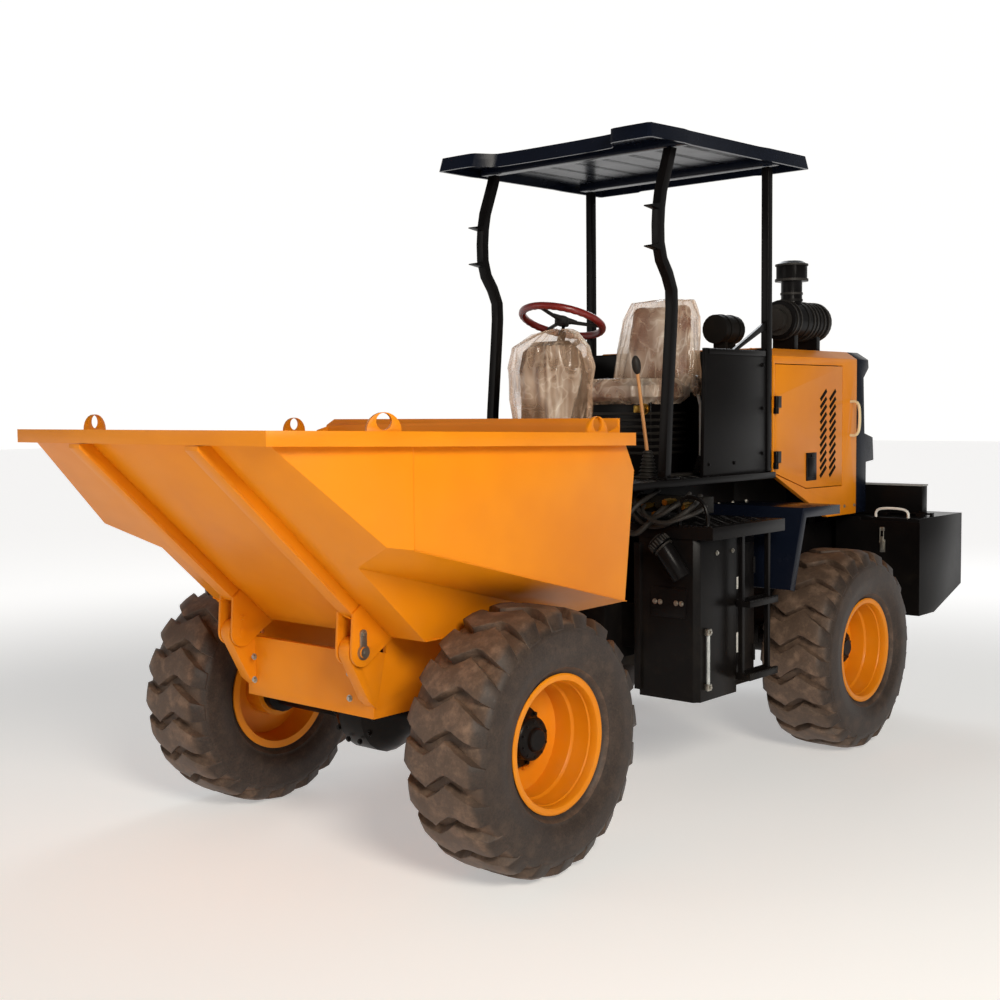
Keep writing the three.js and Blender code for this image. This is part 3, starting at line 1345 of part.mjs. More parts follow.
function lidBody() {
  const z0 = BOX_TOP + FIT;
  const z1 = BOX_TOP + LID_THICK;
  const plate = block([LID_IN, LID_OUT], [BOX_FRONT, LID_REAR - 12], [z0, z1]);
  const knuckle = (x) => cut(
    join(
      bar(11, [x, LID_REAR, LID_HINGE_Z], [x + 50, LID_REAR, LID_HINGE_Z], 12),
      block([x, x + 50], [LID_REAR - 45, LID_REAR], [z1 - 5, LID_HINGE_Z]),
    ),
    bar(6 + RUN, [x - 10, LID_REAR, LID_HINGE_Z], [x + 60, LID_REAR, LID_HINGE_Z], 12),
  );
  const octagon = ring(8, 8);
  const handleY = BOX_FRONT + 18;
  const handle = swept(octagon, [
    [700, handleY, z1 - 4],
    [700, handleY, z1 + 28],
    [718, handleY, z1 + 46],
    [882, handleY, z1 + 46],
    [900, handleY, z1 + 28],
    [900, handleY, z1 - 4],
  ], 18);
  return join(plate, knuckle(LID_IN + 40), knuckle(LID_OUT - 90), handle);
}
add('left_box_lid', lidBody(), 'black');
add('right_box_lid', mirrored(lidBody()), 'black');

// Raised board across the machine, standing on the boxes' fixed tops behind the lids.
add(
  'tail_board',
  block([-890, 890], [LID_REAR + 27, LID_REAR + 95], [BOX_TOP + LID_THICK + FIT, BOX_TOP + 200]),
  'black',
);

export default machine;
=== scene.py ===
import json
import math

import bmesh
import bpy
from mathutils import Matrix, Vector, noise


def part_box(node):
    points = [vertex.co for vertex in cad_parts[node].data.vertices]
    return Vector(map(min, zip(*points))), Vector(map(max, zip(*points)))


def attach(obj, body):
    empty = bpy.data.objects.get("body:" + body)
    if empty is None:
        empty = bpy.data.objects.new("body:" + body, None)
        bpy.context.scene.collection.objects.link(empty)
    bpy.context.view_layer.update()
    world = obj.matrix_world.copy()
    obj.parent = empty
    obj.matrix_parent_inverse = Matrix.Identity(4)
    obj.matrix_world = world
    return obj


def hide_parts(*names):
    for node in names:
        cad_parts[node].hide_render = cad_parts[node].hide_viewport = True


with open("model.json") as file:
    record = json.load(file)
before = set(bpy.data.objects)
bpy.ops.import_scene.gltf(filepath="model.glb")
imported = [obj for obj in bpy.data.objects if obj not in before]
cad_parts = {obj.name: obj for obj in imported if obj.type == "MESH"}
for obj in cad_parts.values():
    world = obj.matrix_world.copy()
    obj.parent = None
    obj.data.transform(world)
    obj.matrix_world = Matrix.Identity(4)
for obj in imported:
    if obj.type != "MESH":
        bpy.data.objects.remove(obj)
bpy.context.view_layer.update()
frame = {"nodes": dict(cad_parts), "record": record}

# ---------------------------------------------------------------------------
# Viewing place and studio. The machine is seen from its front left at about the
# height of the platform, on a pale floor that glows by itself with painted brightness, under wide soft
# lights.
camera = bpy.data.objects.new("camera", bpy.data.cameras.new("camera"))
camera.data.sensor_width = 36
camera.data.lens = 48.61
camera.data.clip_end = 200
view_right = Vector((0.75243, 0.65860, -0.00982))
view_up = Vector((-0.03730, 0.05749, 0.99765))
view_back = Vector((0.65761, -0.75030, 0.06783))
turn = Matrix((view_right, view_up, view_back)).transposed().to_4x4()
camera.matrix_world = Matrix.Translation((4.2828, -5.4397, 1.8539)) @ turn
bpy.context.scene.collection.objects.link(camera)
bpy.context.scene.camera = camera
bpy.context.scene.view_settings.view_transform = "Standard"

world = bpy.data.worlds.new("studio")
world.use_nodes = True
sky = world.node_tree.nodes
backdrop = sky["Background"]
backdrop.inputs["Color"].default_value = (1.0, 0.99, 0.97, 1)
facing = sky.new("ShaderNodeTexCoord")
split = sky.new("ShaderNodeSeparateXYZ")
ahead = sky.new("ShaderNodeVectorMath")
ahead.operation = "DOT_PRODUCT"
ahead.inputs[1].default_value = (-0.66, 0.75, 0.0)
rise = sky.new("ShaderNodeMapRange")
behind = sky.new("ShaderNodeMapRange")
strength = sky.new("ShaderNodeMath")
strength.operation = "MULTIPLY"
for socket, value in zip(list(rise.inputs)[1:5], (0.28, 0.55, 1.0, 0.26)):
    socket.default_value = value
for socket, value in zip(list(behind.inputs)[1:5], (0.45, 0.72, 0.30, 1.03)):
    socket.default_value = value
for start, end in (
    (facing.outputs["Generated"], split.inputs[0]), (split.outputs["Z"], rise.inputs[0]),
    (facing.outputs["Generated"], ahead.inputs[0]),
    (ahead.outputs["Value"], behind.inputs[0]), (rise.outputs[0], strength.inputs[0]),
    (behind.outputs[0], strength.inputs[1]), (strength.outputs[0], backdrop.inputs["Strength"]),
):
    world.node_tree.links.new(start, end)
bpy.context.scene.world = world


def soft_light(name, place, towards, size, power, tint):
    lamp = bpy.data.lights.new(name, "AREA")
    lamp.shape = "DISK"
    lamp.size = size
    lamp.energy = power
    lamp.color = tint
    holder = bpy.data.objects.new(name, lamp)
    aim = (Vector(towards) - Vector(place)).to_track_quat("-Z", "Y")
    holder.matrix_world = Matrix.Translation(place) @ aim.to_matrix().to_4x4()
    bpy.context.scene.collection.objects.link(holder)


soft_light("key", (7.0, -4.9, 4.7), (0, 0, 1.0), 2.6, 490, (1.0, 0.94, 0.84))
soft_light("front", (-4.5, -7.5, 3.5), (0, -0.8, 0.8), 3.5, 60, (1.0, 0.95, 0.88))
soft_light("back", (-3.5, 7.0, 6.5), (0, 0.5, 1.6), 4.0, 160, (0.92, 0.96, 1.0))


# ---------------------------------------------------------------------------
# Finishes. A finish is one procedural material; its sums are written as plain
# sums on the sockets of its nodes.
class Shade:
    """A socket of a finish's node tree that can be added, multiplied and compared."""

    def __init__(self, finish, socket):
        self.finish = finish
        self.socket = socket

    def sum(self, operation, first, second, clamp=False):
        settings = {"operation": operation, "use_clamp": clamp}
        return self.finish.node("Math", settings, s0=first, s1=second)

    def __add__(self, other):
        return self.sum("ADD", self, other)

    def __radd__(self, other):
        return self.sum("ADD", other, self)

    def __sub__(self, other):
        return self.sum("SUBTRACT", self, other)

    def __rsub__(self, other):
        return self.sum("SUBTRACT", other, self)

    def __mul__(self, other):
        return self.sum("MULTIPLY", self, other)

    def __rmul__(self, other):
        return self.sum("MULTIPLY", other, self)

    def __gt__(self, other):
        return self.sum("GREATER_THAN", self, other)

    def __lt__(self, other):
        return self.sum("LESS_THAN", self, other)

    def between(self, low, high):
        """0 below low, 1 above high, and smooth in between."""
        settings = {"interpolation_type": "SMOOTHSTEP", "clamp": True}
        return self.finish.node("MapRange", settings, s0=self, s1=low, s2=high)

    def kept(self):
        return self.sum("ADD", self, 0.0, clamp=True)


class Finish:
    """A Principled material. Numbers that never vary are set on its own sockets."""

    def __init__(self, name, **fixed):
        self.material = bpy.data.materials.new(name)
        self.material.use_nodes = True
        self.tree = self.material.node_tree
        self.shader = self.tree.nodes["Principled BSDF"]
        for socket, value in fixed.items():
            self.shader.inputs[socket.replace("_", " ")].default_value = value
        self.place = self.node("TexCoord", output="Object")

    def node(self, kind, settings=None, output=0, **sockets):
        node = self.tree.nodes.new("ShaderNode" + kind)
        for name, value in (settings or {}).items():
            setattr(node, name, value)
        for name, value in sockets.items():
            numbered = name[0] == "s" and name[1:].isdigit()
            socket = node.inputs[int(name[1:])] if numbered else node.inputs[name]
            if isinstance(value, Shade):
                self.tree.links.new(value.socket, socket)
            else:
                socket.default_value = value
        return Shade(self, node.outputs[output])

    def grain(self, scale, detail=4.0, rough=0.55, stretch=None):
        """Cloudy noise over the surface, with an average of one half."""
        place = self.place
        if stretch:
            settings = {"operation": "MULTIPLY"}
            place = self.node("VectorMath", settings, s0=place, s1=stretch)
        return self.node("TexNoise", Vector=place, Scale=scale, Detail=detail, Roughness=rough)

    def height(self):
        return self.node("SeparateXYZ", output="Z", Vector=self.place)

    def mixed(self, share, first, second):
        settings = {"data_type": "RGBA"}
        return self.node("Mix", settings, output=2, s0=share, s6=first, s7=second)

    def feed(self, **links):
        for name, value in links.items():
            self.tree.links.new(value.socket, self.shader.inputs[name.replace("_", " ")])

    def bumped(self, height, strength=0.3, distance=0.001):
        normal = self.node("Bump", Height=height, Strength=strength, Distance=distance)
        self.feed(Normal=normal)


def colour(red, green, blue):
    """A screen colour of 0 to 255 as the linear colour that a shader takes."""
    return tuple(
        v / 12.92 if v <= 0.04045 else ((v + 0.055) / 1.055) ** 2.4
        for v in (red / 255, green / 255, blue / 255)
    ) + (1.0,)


DUST = colour(168, 146, 118)


def painted(name, base, shade, roughness, dusty=0.35, shine=0.3, top=1.3):
    """Sprayed steel: slight unevenness, orange peel, and dust that gathers low down."""
    finish = Finish(name, Specular_IOR_Level=shine)
    cloud = finish.grain(1.7, 3.0)
    blotch = finish.grain(9.0, 8.0, 0.65)
    low = 1.0 - finish.height().between(0.2, top)
    dust = ((blotch.between(0.42, 0.78) * 0.8 + 0.2) * (low * 0.8 + 0.12) * dusty).kept()
    tint = finish.mixed(cloud.between(0.3, 0.75), base, shade)
    finish.feed(Base_Color=finish.mixed(dust, tint, DUST))
    finish.feed(Roughness=(roughness + dust * 0.5 + (blotch - 0.5) * 0.10).kept())
    peel = finish.grain(420.0, 2.0)
    scuff = finish.grain(60.0, 6.0, 0.7)
    finish.bumped(peel * 0.5 + scuff * 0.5, 0.12, 0.0006)
    return finish


orange = painted("orange_paint", (0.80, 0.255, 0.003, 1), (0.70, 0.205, 0.002, 1), 0.38, 0.10, 0.20)
black = painted(
    "black_paint", (0.0050, 0.0044, 0.0046, 1), (0.0030, 0.0027, 0.0028, 1), 0.30, 0.03, 0.09,
)
navy = painted("navy_paint", (0.0045, 0.0070, 0.0150, 1), (0.003, 0.0045, 0.0100, 1), 0.26, 0.02, 0.11)
cast = painted("cast_iron_paint", (0.008, 0.007, 0.0065, 1), (0.005, 0.0045, 0.004, 1), 0.55, 0.12, 0.14)


def clouded(name, scale, detail, tints, roughness, spread, **fixed):
    """Two tints in clouds, with a roughness that follows the clouds too."""
    finish = Finish(name, **fixed)
    cloud = finish.grain(scale, detail)
    finish.feed(Base_Color=finish.mixed(cloud, *tints), Roughness=roughness + cloud * spread)
    return finish


zinc = clouded(
    "zinc_plate", 30.0, 5.0, (colour(188, 184, 174), colour(150, 146, 136)), 0.25, 0.25,
    Metallic=0.9,
)
zinc.bumped(zinc.grain(300.0, 3.0), 0.15, 0.0004)
chrome = clouded(
    "chromed_rod", 24.0, 4.0, (colour(226, 227, 230), colour(196, 196, 196)), 0.06, 0.12,
    Metallic=1.0,
)
brass = clouded(
    "brass_fitting", 60.0, 5.0, (colour(206, 168, 84), colour(150, 112, 48)), 0.22, 0.3,
    Metallic=1.0,
)
cream = painted("cream_paint", colour(232, 214, 172), colour(214, 196, 152), 0.42, 0.2)


# ---------------------------------------------------------------------------
# Edges of the welded steelwork. Each CAD piece whose shape is right is shown as
# a copy of itself with its sharp plate edges eased, so that they catch the light.
def made(name, bm, finish, body, sharp=38.0):
    """The bmesh as an object at the origin with one finish, riding on a body."""
    mesh = bpy.data.meshes.new(name)
    bm.to_mesh(mesh)
    bm.free()
    mesh.materials.append(finish.material)
    mesh.polygons.foreach_set("use_smooth", [True] * len(mesh.polygons))
    mesh.set_sharp_from_angle(angle=math.radians(sharp))
    piece = bpy.data.objects.new(name, mesh)
    bpy.context.scene.collection.objects.link(piece)
    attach(piece, body)
    return piece


def spun(bm, points, axis, steps, closed=True, centre=(0, 0, 0), merge=1e-5):
    """An outline turned once round an axis, with its seam welded."""
    loop = [bm.verts.new(point) for point in points]
    edges = [bm.edges.new(pair) for pair in zip(loop, loop[1:] + loop[:1] if closed else loop[1:])]
    bmesh.ops.spin(
        bm, geom=loop + edges, cent=centre, axis=axis,
        angle=2 * math.pi, steps=steps, use_merge=True,
    )
    bmesh.ops.remove_doubles(bm, verts=bm.verts, dist=merge)
    bmesh.ops.recalc_face_normals(bm, faces=bm.faces)


BODY_OF = {
    node: body
    for body, nodes in frame["record"]["behaviour"]["bodies"].items()
    for node in nodes
}


def eased(node, finish, edge=0.003, steps=2, sharp=38.0):
    """A copy of a CAD piece with rounded edges, in place of the piece itself."""
    bm = bmesh.new()
    bm.from_mesh(frame["nodes"][node].data)
    bmesh.ops.remove_doubles(bm, verts=bm.verts, dist=2e-5)
    flat = math.radians(1.0)
    bmesh.ops.dissolve_limit(bm, angle_limit=flat, verts=bm.verts, edges=bm.edges)
    corners = [
        e for e in bm.edges
        if len(e.link_faces) == 2 and e.calc_face_angle(0.0) > math.radians(30)
    ]
    bmesh.ops.bevel(
        bm, geom=corners, offset=edge, segments=steps, profile=0.5,
        affect="EDGES", material=-1, clamp_overlap=True,
    )
    piece = made(node + "_eased", bm, finish, BODY_OF[node], sharp)
    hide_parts(node)
    return piece


# ---------------------------------------------------------------------------
# Tyres. Earthmover tyres with broad zigzag lugs right across the tread; the rubber
# is dark brown, with pale dust on the tread and little on the walls.
rubber = Finish("tyre_rubber", Specular_IOR_Level=0.35)
rubber_cloud = rubber.grain(14.0, 8.0, 0.7)
rubber_fine = rubber.grain(110.0, 6.0, 0.7)
rubber_wall = rubber.node("Math", {"operation": "ABSOLUTE"}, s0=rubber.node(
    "SeparateXYZ", output="X", Vector=rubber.node("TexCoord", output="Normal"),
))
rubber_tread = 1.0 - rubber_wall.between(0.35, 0.85)
rubber_dust = (
    0.05 + rubber_tread * 0.16 + rubber_cloud.between(0.42, 0.80) * (0.10 + rubber_tread * 0.30)
    + (rubber_fine - 0.5) * 0.20
).kept()
rubber.feed(
    Base_Color=rubber.mixed(rubber_dust, colour(33, 27, 24), colour(168, 136, 112)),
    Roughness=(0.50 + rubber_dust * 0.35).kept(),
)
rubber.bumped(rubber_fine * 0.7 + rubber.grain(260.0, 3.0) * 0.3, 0.35, 0.0015)

tyre_low, tyre_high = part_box("front_left_tyre")
TYRE_RADIUS = (tyre_high.z - tyre_low.z) / 2
LUGS = 20
LUG_PITCH = 2 * math.pi * TYRE_RADIUS / LUGS


def along(points, at):
    """Straight-line interpolation in a short table of (place, value)."""
    for (a, low), (b, high) in zip(points, points[1:]):
        if at <= b:
            return low + (high - low) * max(0.0, (at - a) / (b - a))
    return points[-1][1]


def lug_top(x):
    return along([
        (0.0, TYRE_RADIUS - 0.001), (0.10, TYRE_RADIUS - 0.002), (0.150, TYRE_RADIUS - 0.009),
        (0.180, TYRE_RADIUS - 0.032), (0.196, TYRE_RADIUS - 0.075),
    ], abs(x))


def lug_foot(x):
    return along([
        (0.0, TYRE_RADIUS - 0.042), (0.13, TYRE_RADIUS - 0.044), (0.165, TYRE_RADIUS - 0.062),
        (0.190, TYRE_RADIUS - 0.095),
    ], abs(x))


def lug_line(x):
    return along([(-0.196, 0.040), (-0.052, -0.034), (0.052, 0.034), (0.196, -0.040)], x)


def lug_width(x):
    return LUG_PITCH - along([(0.0, 0.050), (0.06, 0.052), (0.15, 0.066), (0.196, 0.085)], abs(x))


tyre_shape = bmesh.new()
carcass = [
    (0.2546, 0.150), (0.2546, 0.161), (0.284, 0.162), (0.296, 0.172), (0.305, 0.186),
    (0.322, 0.190), (0.328, 0.196), (0.345, 0.198), (0.352, 0.203), (0.395, 0.2045),
    (0.440, 0.2000), (0.452, 0.198), (0.458, 0.194), (0.472, 0.188), (0.482, 0.172),
    (0.4935, 0.130), (0.4965, 0.065), (0.4975, 0.0),
]
outline = [(r, x) for r, x in carcass] + [(r, -x) for r, x in reversed(carcass[:-1])]
spun(tyre_shape, [(x, 0, r) for r, x in outline], (1, 0, 0), 100)

lug = bmesh.new()
bmesh.ops.create_grid(lug, x_segments=16, y_segments=2, size=1.0)
deep = bmesh.ops.extrude_face_region(lug, geom=list(lug.faces))
foot_verts = [g for g in deep["geom"] if isinstance(g, bmesh.types.BMVert)]
bmesh.ops.translate(lug, verts=foot_verts, vec=(0, 0, -1))
bmesh.ops.recalc_face_normals(lug, faces=lug.faces)
top_edges = [e for e in lug.edges if all(v.co.z > -0.5 for v in e.verts) and len(e.link_faces) == 2
             and e.calc_face_angle(0.0) > 0.5]
for v in lug.verts:
    is_foot = v.co.z < -0.5
    x = v.co.x * (0.196 if not is_foot else 0.193)
    width = lug_width(x) + (0.014 if is_foot else 0.0)
    arc = lug_line(x) + v.co.y * width / 2
    radius = lug_foot(x) - 0.006 if is_foot else lug_top(x)
    swing = arc / TYRE_RADIUS
    v.co = (x, radius * math.sin(swing), radius * math.cos(swing))
bmesh.ops.bevel(
    lug, geom=top_edges, offset=0.004, segments=2, profile=0.5,
    affect="EDGES", material=-1, clamp_overlap=True,
)
bmesh.ops.recalc_face_normals(lug, faces=lug.faces)
lug_mesh = bpy.data.meshes.new("lug")
lug.to_mesh(lug_mesh)
lug.free()
for i in range(LUGS):
    one = lug_mesh.copy()
    one.transform(Matrix.Rotation(2 * math.pi * i / LUGS, 4, "X"))
    tyre_shape.from_mesh(one)
    bpy.data.meshes.remove(one)

WHEELS = {
    f"{end}_{side}": sign
    for end in ("front", "rear") for side, sign in (("left", 1), ("right", -1))
}


def wheel_place(wheel):
    low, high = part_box(wheel + "_tyre")
    return (low + high) / 2


def placed(shape, wheel):
    """A copy of a wheel piece, turned to face outwards and moved to its axle's end."""
    bm = shape.copy()
    if WHEELS[wheel] < 0:
        bmesh.ops.rotate(bm, verts=bm.verts, cent=(0, 0, 0), matrix=Matrix.Rotation(math.pi, 3, "Z"))
    bmesh.ops.translate(bm, verts=bm.verts, vec=wheel_place(wheel))
    return bm


for wheel in WHEELS:
    tyre = made(wheel + "_lugged_tyre", placed(tyre_shape, wheel), rubber, wheel + "_wheel", 42)
    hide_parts(wheel + "_tyre")

# ---------------------------------------------------------------------------
# Rims. Wide pressed-steel rims painted orange, with a rolled flange, a deep well, and
# a flat disc welded well inside. A ring of painted nuts holds the disc to the hub.
rim_low, rim_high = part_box("front_left_rim")
FLANGE = (rim_high.z - rim_low.z) / 2
rim_shape = bmesh.new()
section = [
    (0.086, -0.052), (0.150, -0.052), (0.176, -0.040), (0.200, -0.040), (0.2245, -0.030),
    (0.2265, 0.030), (0.229, 0.048), (0.240, 0.060), (0.2435, 0.075), (0.2435, 0.128),
    (0.2475, 0.134), (0.2475, 0.158), (0.252, 0.168), (0.262, 0.1725), (0.273, 0.1725),
    (FLANGE, 0.1685), (FLANGE, 0.165), (0.262, 0.1645), (0.2545, 0.160), (0.2535, 0.120),
    (0.236, 0.050), (0.236, -0.060), (0.2535, -0.120), (0.2535, -0.160), (0.262, -0.1645),
    (FLANGE, -0.165), (FLANGE, -0.1725), (0.246, -0.1725), (0.228, -0.080), (0.2245, -0.056),
    (0.180, -0.064), (0.1255, -0.064), (0.1255, -0.158), (0.086, -0.158),
]
spun(rim_shape, [(x, 0, r) for r, x in section], (1, 0, 0), 96)


def rod(bm, start, end, radius, sides=16, end_radius=None):
    """A round bar or cone between two points."""
    start, end = Vector(start), Vector(end)
    run = end - start
    aim = run.to_track_quat("Z", "Y").to_matrix().to_4x4()
    return bmesh.ops.create_cone(
        bm, cap_ends=True, segments=sides, radius1=radius,
        radius2=radius if end_radius is None else end_radius, depth=run.length,
        matrix=Matrix.Translation((start + end) / 2) @ aim,
    )["verts"]


def bolt(bm, place, direction, radius, height=None):
    """A hexagonal bolt head on its washer, standing on a surface."""
    place, direction = Vector(place), Vector(direction).normalized()
    height = height or radius * 0.75
    rod(bm, place - direction * 0.002, place + direction * radius * 0.22, radius * 1.45, 14)
    rod(bm, place, place + direction * (radius * 0.22 + height), radius, 6, radius * 0.93)


for i in range(8):
    swing = 2 * math.pi * (i + 0.5) / 8
    for side in (-0.014, 0.014):
        at = swing + side / 0.145
        bolt(rim_shape, (-0.053, 0.146 * math.sin(at), 0.146 * math.cos(at)), (1, 0, 0), 0.0095)
rod(rim_shape, (0.02, 0, 0.2255), (0.05, 0, 0.212), 0.004, 8)
for wheel in WHEELS:
    rim = made(wheel + "_pressed_rim", placed(rim_shape, wheel), orange, wheel + "_wheel", 30)
    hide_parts(wheel + "_rim")

# Planetary hubs. Black cast hubs that stand out of each rim, with a bolted cover,
# cast ribs round the barrel and an oil plug.
hub_shape = bmesh.new()
hub_profile = [
    (0.0, -0.155), (0.085, -0.155), (0.085, -0.050), (0.121, -0.049), (0.125, -0.043),
    (0.125, -0.030), (0.104, -0.022), (0.090, -0.012), (0.080, 0.022), (0.087, 0.026),
    (0.0875, 0.036), (0.083, 0.041), (0.072, 0.046), (0.050, 0.050), (0.046, 0.062),
    (0.041, 0.0655), (0.0, 0.0655),
]
spun(hub_shape, [(x, 0, r) for r, x in hub_profile], (1, 0, 0), 56, closed=False, merge=1e-4)
for i in range(10):
    swing = 2 * math.pi * i / 10
    bolt(hub_shape, (0.043, 0.0715 * math.sin(swing), 0.0715 * math.cos(swing)), (1, 0, 0), 0.006)
for i in range(12):
    swing = 2 * math.pi * (i + 0.5) / 12
    out = Vector((0, math.sin(swing), math.cos(swing)))
    for reach, inner, outer, radius, sides in (
        (0.1145, -0.032, -0.014, 0.0085, 6), (0.079, -0.020, 0.028, 0.0055, 8),
    ):
        start, end = (out * reach + Vector((x, 0, 0)) for x in (inner, outer))
        rod(hub_shape, start, end, radius, sides)
bolt(hub_shape, (0.049, 0.030, 0.030), (1, 0, 0), 0.0055)
for wheel in WHEELS:
    hub = made(wheel + "_planetary_hub", placed(hub_shape, wheel), black, wheel + "_wheel", 35)

# ---------------------------------------------------------------------------
# Axles, gearbox, engine and shafts. Black-painted castings and forgings under the
# machine, with bolted covers on the differentials.
AXLE_Z = 0.5375
for node in ("front_axle", "rear_axle"):
    low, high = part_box(node)
    middle = (low + high) / 2
    away = -1 if node == "front_axle" else 1
    eased(node, black, 0.006)
    cover = bmesh.new()
    face = middle.y + away * 0.176 if node == "rear_axle" else low.y
    for i in range(10):
        swing = 2 * math.pi * i / 10
        at = (0.118 * math.cos(swing), face - away * 0.022, AXLE_Z + 0.118 * math.sin(swing))
        bolt(cover, at, (0, away, 0), 0.009)
    made(node + "_cover_bolts", cover, black, BODY_OF[node])
for node in ("transmission", "engine", "front_driveshaft"):
    eased(node, cast, 0.005)

# ---------------------------------------------------------------------------
# Hydraulic cylinders. Black barrels with a turned gland at the open end, and chromed
# rods that slide in them.
for node in ("tip_cylinder", "steering_cylinder"):
    eased(node, black, 0.002)
for node in ("tip_rod", "steering_rod"):
    eased(node, chrome, 0.001)


# ---------------------------------------------------------------------------
# Front chassis. An orange plate box between the front wheels, with the two hinge arms
# of the skip and the lugs of the tipping cylinder welded to its nose.
def slab(bm, low, high, edge=0.002, turned=None):
    """A plate or bar between two corners, with its edges eased."""
    low, high = Vector(low), Vector(high)
    place = Matrix.Translation((low + high) / 2)
    if turned is not None:
        place = place @ turned.to_4x4()
    cube = bmesh.ops.create_cube(bm, size=1.0, matrix=place @ Matrix.Diagonal((*(high - low), 1)))
    edges = {e for v in cube["verts"] for e in v.link_edges}
    bmesh.ops.bevel(
        bm, geom=list(edges), offset=edge, segments=2, profile=0.5,
        affect="EDGES", material=-1, clamp_overlap=True,
    )


def flipped(bm):
    """The mirror image of a left-hand piece, for the right."""
    other = bm.copy()
    bmesh.ops.scale(other, vec=(-1, 1, 1), verts=other.verts)
    bmesh.ops.recalc_face_normals(other, faces=other.faces)
    return other


def both_sides(name, bm, finish, body, sharp=38.0):
    other = flipped(bm)
    made("left_" + name, bm, finish, body, sharp)
    made("right_" + name, other, finish, body, sharp)


def bead(bm, start, end, radius=0.004):
    """A weld bead between two points: a thin bar with an uneven swell along it."""
    start, end = Vector(start), Vector(end)
    count = max(2, int((end - start).length / 0.05))
    for i in range(count):
        a, b = start.lerp(end, i / count), start.lerp(end, (i + 1) / count)
        swell = radius * (0.85 + 0.3 * noise.random())
        rod(bm, a - (b - a) * 0.1, b + (b - a) * 0.1, swell, 6, radius * 0.8)


noise.seed_set(7)
eased("front_frame", orange, 0.003)
frame_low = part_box("front_frame")[0]
nose = bmesh.new()
for x in (-0.30, 0.30):
    for z in (0.70, 0.80):
        bolt(nose, (x, frame_low.y + 0.0965, z), (0, -1, 0), 0.010)
made("front_frame_nose_bolts", nose, zinc, "front_chassis")

# Brake lines. A rubber hose to each front hub, ending in a zinc union.
hose_rubber = Finish("hose_rubber", Specular_IOR_Level=0.3)
hose_grain = hose_rubber.grain(90.0, 5.0, 0.7)
hose_rubber.feed(
    Base_Color=hose_rubber.mixed(hose_grain, (0.010, 0.009, 0.008, 1), (0.028, 0.024, 0.020, 1)),
    Roughness=0.45 + hose_grain * 0.25,
)
hose_rubber.bumped(hose_grain, 0.2, 0.0006)


def hose(name, points, radius, finish, body):
    """A fixed hose or pipe: a round section that follows a smooth line."""
    line = bpy.data.curves.new(name, "CURVE")
    line.dimensions = "3D"
    line.bevel_depth = radius
    line.bevel_resolution = 3
    line.resolution_u = 10
    line.use_fill_caps = True
    spline = line.splines.new("NURBS")
    spline.points.add(len(points) - 1)
    for knot, point in zip(spline.points, points):
        knot.co = (*point, 1.0)
    spline.order_u = 4
    spline.use_endpoint_u = True
    line.materials.append(finish.material)
    piece = bpy.data.objects.new(name, line)
    bpy.context.scene.collection.objects.link(piece)
    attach(piece, body)
    return piece


for side, sign in (("left", 1), ("right", -1)):
    hose(f"{side}_brake_line", [
        (sign * 0.30, -1.16, 0.66), (sign * 0.42, -1.22, 0.60), (sign * 0.50, -1.26, 0.64),
        (sign * 0.60, -1.30, 0.66), (sign * 0.66, -1.36, 0.63),
    ], 0.007, hose_rubber, "front_chassis")
    fitting = bmesh.new()
    rod(fitting, (sign * 0.655, -1.352, 0.633), (sign * 0.676, -1.376, 0.622), 0.011, 6)
    bolt(fitting, (sign * 0.50, -1.444, 0.58), (0, -1, 0), 0.010)
    made(f"{side}_brake_fitting", fitting, zinc, "front_chassis")

# ---------------------------------------------------------------------------
# Skip. A welded orange tub with flared front sides, a sloping front plate, a box
# section rim with four lifting eyes, and a spill guard board across its rear.
for node in ("skip_shell", "skip_rim", "spill_guard"):
    eased(node, orange, 0.004)
seams = bmesh.new()
SEAM_Y = -2.0625
bead(seams, (0.9200, SEAM_Y, 1.36), (0.9200, SEAM_Y, 1.712), 0.0024)
bead(seams, (0.9225, SEAM_Y, 1.352), (0.9225, -0.80, 1.030), 0.0025)
bead(seams, (0.62, -1.70, 0.948), (0.62, -0.84, 0.948), 0.003)
both_sides("skip_seams", seams, orange, "skip")

# Hinge ribs. Folded channels down the front plate, each ending in two ears on the
# hinge pin, with a keeper plate and its bolt on the outer end of the pin.
for side, sign in (("left", 1), ("right", -1)):
    node = side + "_hinge_rib"
    eased(node, orange, 0.003)
    pin_y, pin_z = -1.8595, 0.905
    keeper = bmesh.new()
    slab(
        keeper, (0.4235, pin_y - 0.017, pin_z + 0.004),
        (0.4300, pin_y + 0.017, pin_z + 0.074), 0.002,
    )
    rod(keeper, (0.4235, pin_y, pin_z), (0.4302, pin_y, pin_z), 0.030, 28)
    rod(keeper, (0.4235, pin_y, pin_z + 0.074), (0.4302, pin_y, pin_z + 0.074), 0.017, 20)
    bolt(keeper, (0.4302, pin_y, pin_z + 0.074), (1, 0, 0), 0.010)
    end = bmesh.new()
    rod(end, (0.425, pin_y, pin_z), (0.4375, pin_y, pin_z), 0.0215, 28)
    rod(end, (0.4370, pin_y, pin_z), (0.4382, pin_y, pin_z), 0.007, 12)
    ears = bmesh.new()
    bead(ears, (0.4125, -1.942, 1.058), (0.4125, -1.700, 0.9490), 0.003)
    bead(ears, (0.413, -2.45, 1.58), (0.413, -1.99, 1.15), 0.0025)
    bead(ears, (0.335, -2.45, 1.58), (0.335, -1.99, 1.15), 0.0025)
    bolt(ears, (0.325, pin_y, pin_z + 0.066), (-1, 0, 0), 0.010)
    if sign < 0:
        keeper, end, ears = flipped(keeper), flipped(end), flipped(ears)
    made(side + "_pin_keeper", keeper, zinc, "skip")
    made(side + "_pin_end", end, zinc, "skip")
    made(side + "_rib_welds", ears, orange, "skip")

